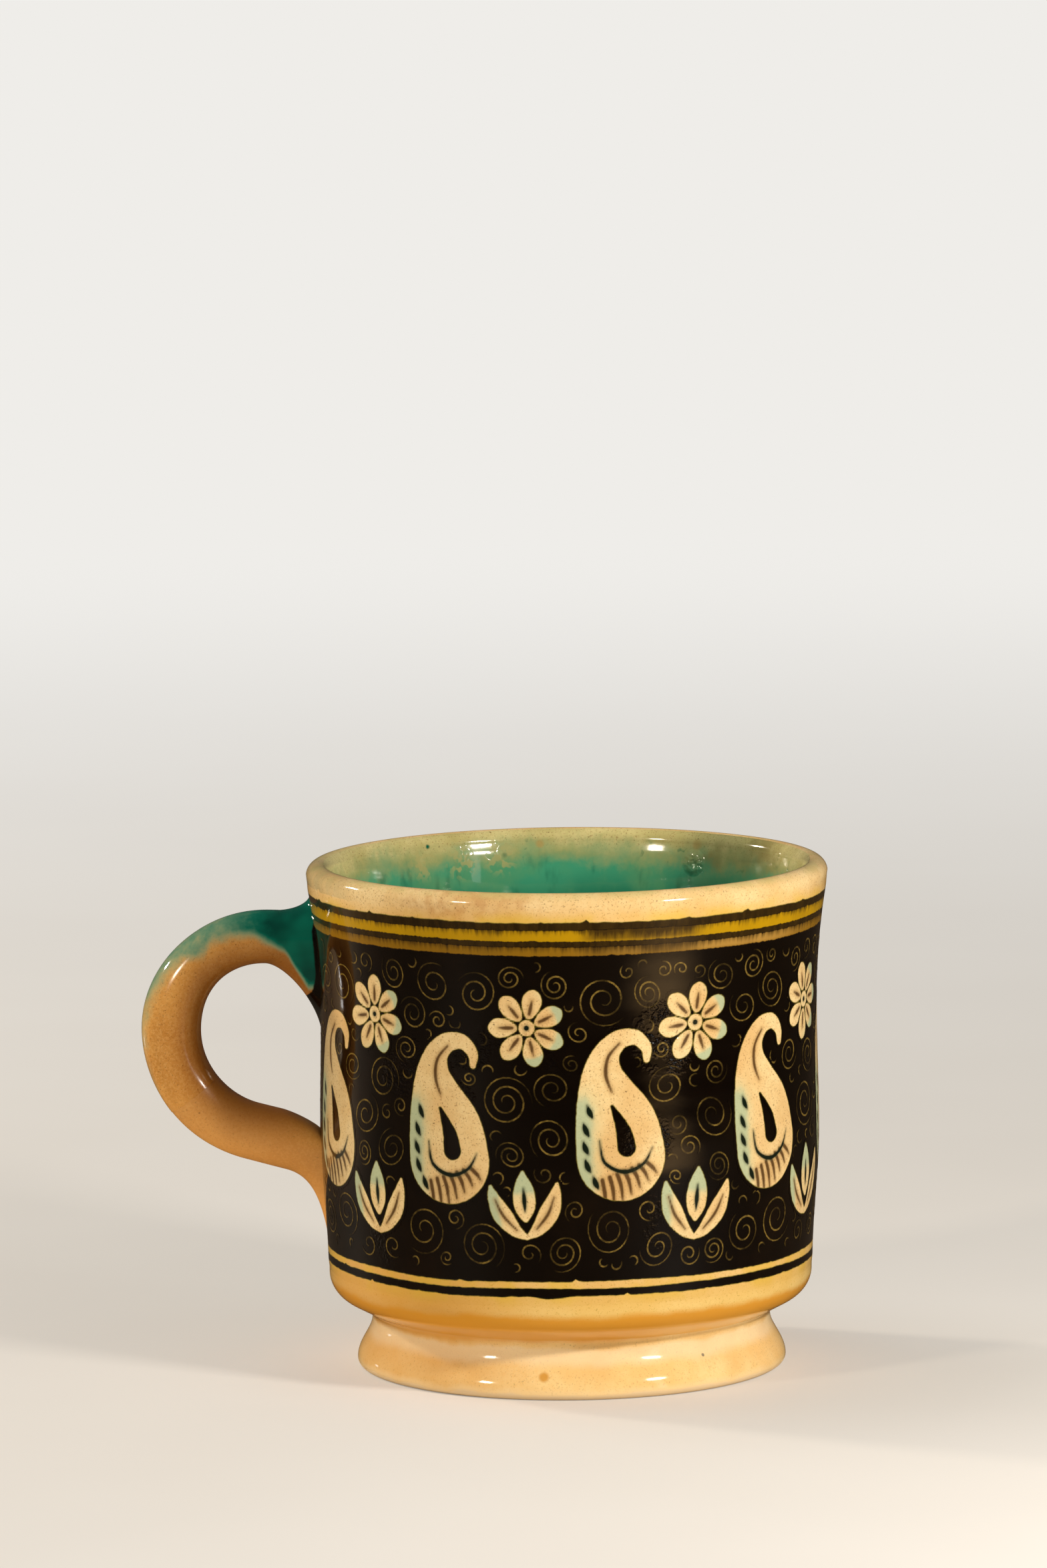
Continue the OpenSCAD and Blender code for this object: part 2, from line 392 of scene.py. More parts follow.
def glazed(name, recipe):
    """A glazed finish. The recipe gives colour, roughness and height."""
    material = bpy.data.materials.new(name)
    material.use_nodes = True
    tree = material.node_tree
    tree.nodes.clear()
    colour, rough, height = recipe(Painter(tree))
    relief = add(tree, "ShaderNodeBump",
                 {"Height": height, "Strength": BUMP, "Distance": BUMP_DEPTH * MM})
    shader = add(tree, "ShaderNodeBsdfPrincipled",
                 {"Base Color": colour, "Roughness": rough, "Normal": relief.outputs[0],
                  "IOR": GLAZE_IOR})
    add(tree, "ShaderNodeOutputMaterial", {"Surface": shader.outputs[0]})
    return material


print("a millimetre of grain has scale", 1 / MM)

# %% [markdown]
# ## The glaze and what lies under it
#
# Three looks are shared, so each is a node group. The glaze's skin is never
# flat: it has slow swells and a finer orange peel, and because it reads the
# same coordinates on every piece, a reflection runs on unbroken from one layer
# to the next. Bare clay shows clouds and fine iron specks. Black slip is a
# brown that is so thick it looks black, thinner in clouds, and it blisters
# here and there.

# %% The glaze's skin, as a height
LOOK = ("Color", "Roughness", "Height")


def skin_recipe(paint, given):
    swell = paint.times(paint.grain(85, 1.5), given["Swell"])
    peel = paint.times(paint.grain(480, 2), 0.16)
    return {"Height": paint.plus(swell, peel)}


glaze_skin = make_group("glaze_skin", {"Swell": 1.0}, ("Height",), skin_recipe)


# %% Clay under clear glaze
def clay_recipe(paint, given):
    clouds = paint.between(paint.grain(70, 4, 0.6), 0.34, 0.68)
    base = paint.mix(clouds, given["Pale"], given["Deep"])
    fine = paint.grain(1500, 3, 0.7)
    mottled = paint.mix(paint.between(fine, 0.42, 0.72, 0, 0.45), base, given["Deep"])
    specks = paint.times(paint.between(paint.grain(3300, 2), 0.56, 0.72), given["Specks"])
    specked = paint.mix(specks, mottled, "#8A5A2C")
    pins = paint.times(paint.between(paint.grain(2300, 0), 0.80, 0.83), given["Specks"])
    return {"Color": paint.mix(pins, specked, "#4A2A14"),
            "Roughness": paint.between(fine, 0.3, 0.8, 0.06, 0.13),
            "Height": paint.use(glaze_skin, Swell=given["Swell"])["Height"]}


clay_look = make_group("clay_under_glaze",
                       {"Pale": "#EFD097", "Deep": "#DCAE70", "Specks": 0.5, "Swell": 1.0},
                       LOOK, clay_recipe)

# %% Black slip under clear glaze
BLISTERED = (((17, -40.5, 64), 3, 8), ((12.7, -42, 46), 2, 6), ((-19, -39.6, 53), 1, 5))


def black_recipe(paint, given):
    clouds = paint.between(paint.grain(48, 4, 0.6), 0.48, 0.78, 0, 0.55)
    brown = paint.mix(clouds, "#070301", "#1A0F06")
    brushed = paint.grain(700, 3, upright=0.12)
    thin = paint.times(given["Thin"], paint.between(brushed, 0.3, 0.7, 0.35, 1.0))
    cloud = paint.between(paint.grain(62, 2), 0.60, 0.72)
    spread = paint.times(paint.near_any(BLISTERED), paint.between(paint.grain(330, 2), 0.35, 0.6))
    patch = paint.most(cloud, spread)
    blister = paint.between(paint.grain(1500, 1), 0.35, 0.75)
    rise = paint.times(paint.times(patch, blister), 2.2)
    return {"Color": paint.mix(thin, brown, "#33200D"),
            "Roughness": paint.between(patch, 0, 1, 0.07, 0.14),
            "Height": paint.plus(paint.use(glaze_skin, Swell=2.2)["Height"], rise)}


black_look = make_group("black_slip_look", {"Thin": 0.0}, LOOK, black_recipe)
print("node groups:", [g.name for g in bpy.data.node_groups])

# %% [markdown]
# ## Finishes of the body
#
# The cream slip on the cup has painted warm bounce light on the left and
# painted light at the right under the rolled edge. Under that edge glaze pools
# amber, darkened further by painted shade. It is pinkish in one place on the
# rim, and stained green where the handle's glaze touched it. The foot is the
# same clay without slip, so it is more orange, with painted warm bounce light on
# the left, amber glaze in the neck deepened by painted shade that reaches lower
# on the left, and a dry pale line where the glaze was wiped off. A mark that
# lies in one place is a point on the mug, how far it reaches in full, where it
# is gone, and how strong it is.

# %% Cream slip on the cup
LINES_MID = (TOP_LINE_Z + LOWER_LINE_Z) / 2
LINES_HALF = (TOP_LINE_Z - LOWER_LINE_Z) / 2
# Middle of the painted warm bounce light on the left
LEFT_BOUNCE = (-32, -28, 10)
# Middle and reach of the painted light at the right under the roll
RIGHT_NECK_LIGHT = ((28, -28, 11), 6, 26)
TOASTED = ((-17, -41, 86), 5, 19, 0.6)
RIM_STAIN = ((-45, -9, 87), 8, 24, 0.55)


def cream_clay(paint):
    return paint.use(clay_look, Pale="#F2D7A0", Deep="#E2BB7C", Specks=0.6)


def cream_colour(paint, clay):
    """The cream: amber where glaze pools under the roll, darkened there by painted shade, with
    painted warm bounce light on the left, painted light at the right under the roll, and a yellow
    tinge beside the outermost lines.
    """
    ragged = paint.plus(paint.axis("Z"), paint.stray(paint.grain(90), 3))
    yellowed = paint.mix(paint.between(ragged, 22, 17, 0, 0.55), clay, "#E8C05A")
    # Painted warm bounce light on the left side of the cup.
    bounce_lit_left = paint.mix(paint.near(LEFT_BOUNCE, 12, 38, 0.6), yellowed, "#D69236")
    # Amber glaze pooled under the rolled edge, darkened there by painted shade.
    pooled_and_shaded = paint.mix(paint.between(ragged, 16.3, 14.7, 0, 0.9), bounce_lit_left, "#DC982C")
    # Painted light: paler cream at the right under the rolled edge, where the key lamp falls.
    right = paint.times(paint.near(*RIGHT_NECK_LIGHT), paint.between(ragged, 14, 11.5, 0, 0.5))
    warm = paint.mix(right, pooled_and_shaded, "#F2C060")
    toasted = paint.times(paint.near(*TOASTED),
                          paint.between(paint.grain(500, 3), 0.4, 0.65, 0.2, 1))
    pink = paint.mix(toasted, warm, "#C9965F")
    from_middle = paint.calc("ABSOLUTE", paint.minus(ragged, LINES_MID))
    apart = paint.minus(from_middle, LINES_HALF)
    golden = paint.mix(paint.between(apart, 3.2, 0.2, 0, 0.4), pink, "#DDA850")
    patchy = paint.between(paint.grain(100, 3), 0.42, 0.62, 0.1, 0.65)
    by_lines = paint.times(paint.between(apart, 2.4, -0.2), patchy)
    return paint.mix(by_lines, golden, "#DDB640")


def cream_recipe(paint):
    clay = cream_clay(paint)
    stain = paint.times(paint.near(*RIM_STAIN),
                        paint.between(paint.grain(260), 0.35, 0.65, 0.5, 1.0))
    stained = paint.mix(stain, cream_colour(paint, clay["Color"]), "#A09A70")
    on_top = paint.between(paint.axis("Z"), 88.2, MUG_H, 0, 0.55)
    olive = paint.times(on_top, paint.between(paint.grain(240, 3), 0.36, 0.66))
    return paint.mix(olive, stained, "#C6BD7A"), clay["Roughness"], clay["Height"]


cream_glaze = glazed("cream_glaze", cream_recipe)

# %% The foot and its coil
SPOT = ((-5.1, -36.75, 4.1), 0.5, 1.2, 0.8)
PIN = ((22.7, -27.97, 6.05), 0.2, 0.42)
NECK_SHADE_SLANT = -0.03


def foot_recipe(paint):
    clay = paint.use(clay_look, Pale="#FDDFA0", Deep="#F6CC85", Specks=0.3)
    ragged = paint.plus(paint.axis("Z"), paint.stray(paint.grain(110), 2.4))
    # Painted shade deepens the neck's pooled amber under the overhang; the slant takes it lower on
    # the left, the shaded side.
    slanted = paint.calc("MULTIPLY_ADD", paint.axis("X"), NECK_SHADE_SLANT, ragged)
    pooled_and_shaded = paint.mix(paint.between(slanted, 9.4, 10.7, 0, 0.85), clay["Color"], "#DC9A38")
    clouds = paint.between(paint.grain(55, 3), 0.5, 0.72, 0, 0.4)
    cloudy = paint.mix(clouds, pooled_and_shaded, "#E0AC60")
    # Painted warm bounce light on the left side of the foot.
    bounce_lit_left = paint.mix(paint.near(LEFT_BOUNCE, 12, 36, 0.45), cloudy, "#DFA24C")
    spotted = paint.mix(paint.near(*SPOT), bounce_lit_left, "#D29222")
    pinned = paint.mix(paint.near(*PIN), spotted, "#2A1408")
    pale = paint.times(paint.between(ragged, 5.0, 7.0), paint.between(ragged, 9.2, 8.2, 0, 0.45))
    paler = paint.mix(pale, pinned, "#FFEFCC")
    wiped = paint.mix(paint.between(ragged, 2.4, 1.2, 0, 0.6), paler, "#F8DCA8")
    dry = paint.between(ragged, 1.3, 0.7)
    return (paint.mix(dry, wiped, "#E9CFA4"), paint.between(dry, 0, 1, 0.08, 0.55),
            clay["Height"])


foot_glaze = glazed("foot_glaze", foot_recipe)

# %% The handle's clay, browner and closely mottled
# Middle and reach of the painted shade inside the handle's loop
LOOP_SHADE = ((-53, 0, 59), 12.5, 22, 0.78)


def handle_clay(paint):
    """The colour and the height of the handle's clay, with painted shade inside the loop and painted
    warm bounce light low down.
    """
    clay = paint.use(clay_look, Pale="#E4A858", Deep="#C98A3E", Specks=0.7)
    flecks = paint.between(paint.grain(2000, 2, 0.7), 0.44, 0.64, 0, 0.5)
    golden = paint.mix(flecks, clay["Color"], "#EAB568")
    rust = paint.between(paint.grain(34, 3), 0.5, 0.75, 0, 0.5)
    mottled = paint.mix(rust, golden, "#B27230")
    # Painted warm bounce light low on the handle.
    bounce_lit_low = paint.mix(paint.between(paint.axis("Z"), 56, 36, 0, 0.6), mottled, "#F0A64C")
    # Painted shade inside the loop.
    return paint.mix(paint.near(*LOOP_SHADE), bounce_lit_low, "#8C5018"), clay["Height"]


def handle_recipe(paint):
    colour, height = handle_clay(paint)
    return colour, paint.between(paint.axis("Z"), 60, 73, 0.36, 0.14), height


handle_glaze = glazed("handle_glaze", handle_recipe)


# %% Green glaze that has run over the handle's clay
def green_over_clay_recipe(paint):
    colour, height = handle_clay(paint)
    ragged = paint.plus(paint.attribute("green"), paint.stray(paint.grain(420, 4, 0.65), 0.5))
    wet = paint.between(ragged, -0.1, 0.6)
    green = paint.mix(paint.between(ragged, 0.25, 0.9), "#86A583", "#07705D")
    runs = paint.between(paint.grain(110, 2), 0.3, 0.6)
    deep = paint.mix(paint.times(paint.between(ragged, 0.75, 1.15), runs), green, "#01483E")
    lap = paint.plus(paint.attribute("slip"), paint.stray(paint.grain(500, 3), 0.8))
    lapped = paint.mix(paint.between(lap, -0.2, 0.5), paint.mix(wet, colour, deep),
                       paint.use(black_look)["Color"])
    return lapped, paint.between(wet, 0, 1, 0.17, 0.06), height


green_over_clay = glazed("green_over_clay", green_over_clay_recipe)

# %% [markdown]
# ## The green lining
#
# The poured glaze gathers low in the cup, where it is a deep bottle green. It
# is thin near the rim, so the cream shows through it as olive, in a ragged
# edge with drops, pits and blisters. So there are two colours, the thin glaze
# and the deep one, and the level that each place lies at chooses between them.

# %% Marks near the lining's edge
CRAWLED = (((-26, 32, 85), 1.5, 4.5), ((-19, 36.5, 84.7), 1.5, 4.5), ((-12, 39.5, 85), 1.5, 4.5))
GREEN_PINS = (((-11.2, 39.9, 85.1), 0.3, 1.0), ((-24.9, 33.2, 87.7), 0.18, 0.6))
RUSTY_PINS = (((23.8, 34, 87.3), 0.42, 1.4, 0.7), ((26.5, 32, 85.8), 0.36, 1.2, 0.7),
              ((-4.6, 41, 87), 0.33, 1.1, 0.7))
RUSTY_PATCH = ((30, 26, 84), 6, 24, 0.7)
# Where painted shade darkens the lining at the inside right
LINING_SHADE = ((28.5, 29, 83.6), 5, 16, 0.55)
BLISTERS = (((23.2, 33.6, 84.2), 1.3, 2.6, 3.0), ((37.8, 16.9, 86.8), 1.0, 2.0, 1.0))


# %% Poured green glaze
def thin_green(paint, clay, washed, lumps):
    """Olive over the cream, with mint clouds, pits, crawled lumps, pins and a rusty patch."""
    olive = paint.mix(washed, clay, "#9AA56C")
    mint = paint.between(paint.grain(90, 3), 0.45, 0.65, 0, 0.7)
    minty = paint.mix(paint.times(mint, washed), olive, "#7FA87C")
    pits = paint.times(paint.between(paint.grain(640, 1), 0.66, 0.74, 0, 0.75),
                       paint.between(paint.grain(75, 2), 0.48, 0.6))
    marked = paint.mix(paint.times(pits, washed), minty, "#1F6B4C")
    marked = paint.mix(paint.times(lumps, 0.55), marked, "#B5AC70")
    for pins, colour in ((GREEN_PINS, "#0F6247"), (RUSTY_PINS, "#B49858")):
        for place in pins:
            marked = paint.mix(paint.near(*place), marked, colour)
    rust = paint.times(paint.near(*RUSTY_PATCH),
                       paint.between(paint.grain(110, 3), 0.4, 0.62, 0, 0.8))
    return paint.mix(rust, marked, "#8A7A46")


def deep_green(paint, height, wander):
    """Bottle green low in the cup, with paler clouds and dark runs."""
    deep = paint.between(paint.plus(height, wander), 84, 75)
    green = paint.mix(deep, "#43A07C", "#0A6B52")
    clouds = paint.times(paint.between(paint.grain(120, 4), 0.40, 0.68),
                         paint.between(height, 40, 80, 0.25, 0.65))
    cloudy = paint.mix(clouds, green, "#5C9A6C")
    runs = paint.between(paint.grain(230, 3, upright=0.35), 0.54, 0.74, 0, 0.6)
    return paint.mix(runs, cloudy, "#07523F")


def lining_recipe(paint):
    clay = paint.use(clay_look, Pale="#DFD396", Deep="#BCB272", Specks=0.6, Swell=0.45)
    height = paint.axis("Z")
    wander = paint.stray(paint.grain(38, 3), 8)
    drops = paint.stray(paint.grain(330, 4, 0.65), 5)
    level = paint.minus(paint.minus(height, wander), drops)
    poured = paint.between(level, 85.6, 81.8)
    lumps = paint.times(paint.between(paint.grain(820, 1), 0.48, 0.58), paint.near_any(CRAWLED))
    thin = thin_green(paint, clay["Color"], paint.between(level, 88.8, 84.3), lumps)
    covered = paint.times(poured, paint.calc("MULTIPLY_ADD", lumps, -0.8, 1.0))
    colour = paint.mix(covered, thin, deep_green(paint, height, wander))
    blistered = paint.times(paint.near_any(BLISTERS), paint.grain(900, 1))
    uneven = paint.plus(paint.times(lumps, 0.22), paint.times(blistered, 7.0))
    # Painted shade darkens the lining at the inside right, below the rim.
    return (paint.mix(paint.near(*LINING_SHADE), colour, "#2C4C32"),
            paint.between(poured, 0, 1, 0.1, 0.05), paint.plus(clay["Height"], uneven))


lining_glaze = glazed("lining_glaze", lining_recipe)
print("body finishes:", [m.name for m in bpy.data.materials])

# %% [markdown]
# ## Finishes of the slips
#
# A brushed or cut edge in slip is soft, because the glaze carries a little
# colour over it. So each piece of slip knows how far every corner lies from
# its own edge, in millimetres, and the finish fades the black into clay there.
# 0 is deep in the black, and EDGE is the edge itself.

# %% How the edges fade
EDGE = 0.3
FADE_FROM, FADE_TO = 0.08, 0.5


def bare_amount(paint):
    """1 on bare clay, 0 in the black, wavering a little as a brush does."""
    bare = paint.attribute("bare")
    reach = paint.plus(bare, paint.stray(paint.grain(900, 3), 0.24))
    return paint.times(paint.between(reach, FADE_FROM, FADE_TO), paint.between(bare, 0.0, 0.05))


def halo(paint, clay, black):
    """Clay, then an olive line where glaze has taken up the slip, then black."""
    bare = bare_amount(paint)
    edge = paint.mix(paint.between(bare, 0.2, 0.95), "#6A6022", clay)
    return paint.mix(paint.between(bare, 0.0, 0.4), black, edge)


# %% Black slip, with the bare clay beside it
THIN_PATCHES = (((-43, -9, 70), 6, 22), ((-42.5, -11, 45), 4, 20), ((-43, 10, 60), 5, 22))
ROOT_STAIN = ((-44, 0, 75), 8, 15, 0.8)


def brushed_black(paint):
    """Black slip, brushed thin beside the handle, where the brown shows."""
    return paint.use(black_look, Thin=paint.near_any(THIN_PATCHES))


def black_finish(name, tint):
    """Black with green that ran on from the upper root, and as much brown as tint says."""
    def recipe(paint):
        black = brushed_black(paint)
        stain = paint.times(paint.near(*ROOT_STAIN),
                            paint.between(paint.grain(150, 3), 0.3, 0.6))
        stained = paint.mix(stain, black["Color"], "#04241C")
        brushed = paint.grain(900, 3, upright=0.1)
        browner = paint.mix(paint.between(brushed, 0.3, 0.7, tint / 2, tint), stained, "#42300F")
        cream = cream_colour(paint, cream_clay(paint)["Color"])
        return halo(paint, cream, browner), black["Roughness"], black["Height"]

    return glazed(name, recipe)


black_slip = black_finish("black_slip", 0.0)
thin_black_slip = black_finish("thin_black_slip", 0.65)


# %% The pattern's finish: bare clay with brushwork on it
def pattern_recipe(paint):
    black = brushed_black(paint)
    clay = paint.use(clay_look, Pale="#EED49C", Deep="#DCB67A", Specks=0.6)
    waver = paint.stray(paint.grain(700, 3), 0.3)
    blush = paint.between(paint.plus(paint.attribute("blush"), waver), 0.05, 0.95)
    pale_green = paint.mix(paint.between(blush, 0.5, 1.0), "#CACA9C", "#9ABA9C")
    washed = paint.mix(paint.times(blush, 0.7), clay["Color"], pale_green)
    vein = paint.plus(paint.attribute("vein"), paint.times(waver, 0.5))
    shaded = paint.mix(paint.between(vein, -0.8, 0.1, 0, 0.45), washed, "#9A7038")
    veined = paint.mix(paint.between(vein, -0.2, 0.15, 0, 0.9), shaded, "#45290E")
    ink = paint.plus(paint.attribute("ink"), paint.times(waver, 0.5))
    smoky = paint.mix(paint.between(ink, -0.5, 0.1, 0, 0.5), veined, "#4A5238")
    inked = paint.mix(paint.between(ink, -0.12, 0.14), smoky, "#0E1A10")
    return halo(paint, inked, black["Color"]), black["Roughness"], black["Height"]


pattern_slip = glazed("pattern_slip", pattern_recipe)


# %% Lines scratched through the black
def scratch_recipe(paint):
    black = brushed_black(paint)
    middle = paint.minus(1.0, paint.calc("ABSOLUTE", paint.attribute("across")))
    patchy = paint.between(paint.grain(210, 3), 0.36, 0.62, 0.15, 1.0)
    ragged = paint.between(paint.grain(1600, 3), 0.35, 0.6, 0.45, 1.0)
    strength = paint.times(paint.times(patchy, ragged), paint.attribute("along"))
    line = paint.times(paint.between(middle, 0.1, 0.7, 0, 0.75), strength)
    return paint.mix(line, black["Color"], "#8F7636"), black["Roughness"], black["Height"]


scratched_slip = glazed("scratched_slip", scratch_recipe)

# %% Yellow and amber slip, with the black run down into them in fine streaks
DULLED = ((12.5, -43, 81.5), 6, 13)
TANNED = ((26, -36, 80), 8, 30)
RUN_TO = 1.3


def streaked(name, bright, dull, run_from, dulling, tan):
    """A stripe of slip. The black runs into it above run_from, as a share of the way up, and
    dulling and tan say how much it is dulled and tanned in one place each."""
    def recipe(paint):
        black = paint.use(black_look, Thin=0.3)
        fine = paint.grain(1500, 3, 0.6, upright=0.05)
        slow = paint.grain(130, 3, upright=0.3)
        up = paint.attribute("up")
        cloudy = paint.plus(paint.stray(slow, 0.6), paint.near(*DULLED, dulling))
        warm = paint.mix(paint.near(*TANNED, tan), bright, "#B8904A")
        body = paint.mix(paint.between(cloudy, -0.05, 0.4), warm, dull)
        lit = paint.mix(paint.between(up, 0.35, 0.0, 0, 0.5), body, bright)
        ragged = paint.plus(paint.stray(fine, 1.5), cloudy)
        run = paint.between(paint.plus(up, ragged), run_from, RUN_TO, 0, 0.9)
        shaded = paint.mix(run, lit, "#33240B")
        rim = paint.plus(paint.attribute("edge"), paint.stray(fine, -0.4))
        colour = paint.mix(paint.between(rim, 0.0, 0.22), black["Color"], shaded)
        return colour, black["Roughness"], black["Height"]

    return glazed(name, recipe)


yellow_slip = streaked("yellow_slip", "#B58C08", "#7A5C0E", 0.45, 0.45, 0.0)
amber_slip = streaked("amber_slip", "#8A6412", "#604614", 0.25, 0.2, 0.6)
print("slips:", yellow_slip.name, amber_slip.name)

# %% [markdown]
# ## Cup, lining, foot and coil
#
# All four are thrown, so each is a profile spun about the axis: the cup with
# its round lip and rolled lower edge, the lining a thin skin inside it, the
# foot a flare with a hollow underneath, and the coil the soft fillet that a
# finger leaves in the neck.


# %% Cup
SLOPE_STEP = 0.5


def outer_face():
    slope = math.tan(math.radians(UNDER_SLOPE))
    return ([(0, FOOT_H), (NECK_R / 2, FOOT_H), (NECK_R, FOOT_H),
             (NECK_R + SLOPE_STEP, FOOT_H + SLOPE_STEP * slope)]
            + arc(ROLL_MID_R, ROLL_Z, ROLL_R, UNDER_SLOPE - 90, 0)
            + [(wall_r(z), z) for z in span(ROLL_Z, LIP_Z, 70)[1:-1]])


def inner_face(skin):
    """From the lip down to the middle of the floor, moved in by a skin."""
    low_z = FLOOR_Z + INSIDE_R
    return ([(wall_r(z) - WALL_T - skin, z) for z in span(LIP_Z, low_z, 60)]
            + arc(wall_r(low_z) - WALL_T - INSIDE_R, low_z, INSIDE_R - skin, 0, -90)
            + [(0, FLOOR_Z + skin)])


lip = arc(RIM_R - LIP_R, LIP_Z, LIP_R, 0, 180, 24)
finish_piece("cup", lathe(outer_face() + lip[1:-1] + inner_face(0)), cream_glaze, ["cup"])

# %% Lining: it thins out over the inner half of the lip
LINING_T = 0.3
LINING_OVER = 112
LIP_SKIN = 0.03
over_lip = arc(RIM_R - LIP_R, LIP_Z, LIP_R + LIP_SKIN, LINING_OVER, 180, 12)
skin = over_lip + inner_face(LINING_T)[1:]
finish_piece("green_lining", lathe(skin), lining_glaze, ["glaze_lining"])

# %% Foot and coil
LEDGE_Z = FOOT_H - COIL_R * (1 - math.sin(math.radians(UNDER_SLOPE))) / math.cos(
    math.radians(UNDER_SLOPE))
HOLLOW_FLARE = 0.35
HOLLOW_TOP_R = NECK_R - FOOT_RING_W
HOLLOW_LOW_R = HOLLOW_TOP_R + (FOOT_R - NECK_R) * HOLLOW_FLARE
flare = [(blend(FOOT_R, NECK_R, s), FOOT_EDGE_R + (LEDGE_Z - FOOT_EDGE_R) * s)
         for s in span(0, 1, 20)[1:]]
foot_profile = ([(HOLLOW_TOP_R, FOOT_H), (HOLLOW_LOW_R, 0)]
                + arc(FOOT_R - FOOT_EDGE_R, FOOT_EDGE_R, FOOT_EDGE_R, -90, 0, 8) + flare)
finish_piece("foot", lathe(foot_profile), foot_glaze, ["foot"])
coil_profile = arc(NECK_R + COIL_R, LEDGE_Z, COIL_R, 180, 90 + UNDER_SLOPE, 16)
finish_piece("foot_coil", lathe(coil_profile), foot_glaze, ["foot_coil"])

# %% [markdown]
# ## The bands of slip
#
# Each band was brushed on while the wheel turned, so it runs true but its
# edges waver by a tenth or two. Neighbouring bands share an edge, so that the
# glaze over them is one smooth face. A band is a sheet round the wall. Its
# rows lie close together at an edge that shows clay, and there they carry the
# distance that the finish fades by. Above the top line and under the lowest
# one the slip thins out into the wall, so that no band floats.


# %% The brushed edges
def brush(seed, amount):
    """How far a brushed edge strays as it goes round, in millimetres: slowly, in a quick quiver
    and in small nibs where the brush caught."""
    def stray(u):
        angle = u / BAND_R
        around = Vector((math.cos(angle), math.sin(angle), 0))
        slow = noise.noise(around * 2.2 + Vector((0, 0, seed)))
        quick = noise.noise(around * 19 + Vector((0, 0, seed + 7)))
        nib = max(0, noise.noise(around * 34 + Vector((0, 0, seed + 13))) - 0.42)
        return amount * (slow + 0.45 * quick + 4 * nib)

    return stray


def dab(u, middle, half, amount):
    """A place where the brush pressed harder, or where a drop ran."""
    apart = abs(u - middle) / half
    return amount * (1 - ease(min(1, apart)))


# Dabs, each with its middle, half its width and its amount: up is above 0
TOP_NIBS = ((2.8, 0.8, 0.55), (32.7, 0.9, 0.45), (-55, 0.8, 0.4), (66, 0.9, 0.5))
PRESSED = (-3.8, 4.2, -0.45)
GAP_DROP = (0.6, 0.7, 0.4)
SAG = (-23, 19, -0.34)


def nibbed(stray, dabs):
    return lambda u: stray(u) + sum(dab(u, *each) for each in dabs)


EDGES = {
    "top": (TOP_LINE_Z, nibbed(brush(13, 0.24), TOP_NIBS)),
    "yellow_top": (YELLOW_TOP_Z, brush(11, 0.18)),
    "yellow_low": (YELLOW_LOW_Z, brush(17, 0.16)),
    "amber_top": (AMBER_TOP_Z, brush(19, 0.16)),
    "amber_low": (AMBER_LOW_Z, brush(5, 0.2)),
    "field_low": (FIELD_LOW_Z, nibbed(brush(3, 0.22), (GAP_DROP, SAG))),
    "line_top": (LOWER_LINE_TOP_Z, nibbed(brush(29, 0.2), (SAG,))),
    "line_low": (LOWER_LINE_Z, nibbed(brush(23, 0.24), (PRESSED, SAG))),
}
SLIP_STAND = 0.14
ROUND = 480


def edge_height(edge, u):
    height, stray = EDGES[edge]
    return height + stray(u)


def face_away(bm):
    """Turns every face on the wall outwards."""
    bm.normal_update()
    inward = [f for f in bm.faces
              if f.normal.x * f.calc_center_median().x + f.normal.y * f.calc_center_median().y < 0]
    bmesh.ops.reverse_faces(bm, faces=inward)


# %% Brush a band of slip between two edges
# Distance and stand outside an edge that thins out, and distance and bare inside an edge
FADE_OUT = ((1.9, -0.04), (1.5, 0.01), (1.0, 0.06), (0.6, 0.1), (0.3, 0.13))
INSET = ((0.0, EDGE), (0.15, EDGE / 2), (0.35, 0.0))
GAP_SHARES = (1.0, 0.75, 0.5, 0.25)
BAND_MERGE = 0.0005


def edge_rows(z, way, meets):
    """Rows (height, stand, bare) at an edge, from outside to inside. way is 1 at an upper edge.
    meets is None where a neighbour shares the edge, "fade" where the slip thins out over bare
    clay, or the height of the next band's edge across bare clay."""
    if meets is None:
        return [(z, SLIP_STAND, 0.0)]
    if meets == "fade":
        outer = [(z + way * d, stand, EDGE + d) for d, stand in FADE_OUT]
    else:
        half = abs(meets - z) / 2
        outer = [(z + way * half * share, SLIP_STAND, EDGE + half * share) for share in GAP_SHARES]
    return outer + [(z - way * d, SLIP_STAND, bare) for d, bare in INSET]


def band(low, high, inner_rows, below=None, above=None):
    """A sheet round the wall between two edges. It carries the depth in bare clay as "bare", the
    distance to the nearer edge as "edge" and the share of the way up as "up"."""
    def rows_at(u):
        z_low, z_high = edge_height(low, u), edge_height(high, u)
        under = edge_height(below, u) if below in EDGES else below
        over = edge_height(above, u) if above in EDGES else above
        first = edge_rows(z_low, -1, under)
        last = edge_rows(z_high, 1, over)[::-1]
        inner = [(z, SLIP_STAND, 0.0) for z in span(first[-1][0], last[0][0], inner_rows + 1)[1:-1]]
        return z_low, z_high, first + inner + last

    count = len(rows_at(0)[2])
    bm = sheet(ROUND, count - 1, lambda u, v: Vector((u, v, 0)))
    layers = [bm.verts.layers.float.new(name) for name in ("bare", "edge", "up")]
    kept = {}
    for v in bm.verts:
        u = (v.co.x - 0.5) * GIRTH
        if v.co.x not in kept:
            kept[v.co.x] = rows_at(u)
        z_low, z_high, rows = kept[v.co.x]
        z, stand, bare = rows[round(v.co.y * (count - 1))]
        for layer, value in zip(layers, (bare, max(0, min(z - z_low, z_high - z)),
                                         (z - z_low) / (z_high - z_low))):
            v[layer] = value
        v.co = on_wall(u, z, stand)
    bmesh.ops.remove_doubles(bm, verts=bm.verts, dist=BAND_MERGE)
    face_away(bm)
    return bm


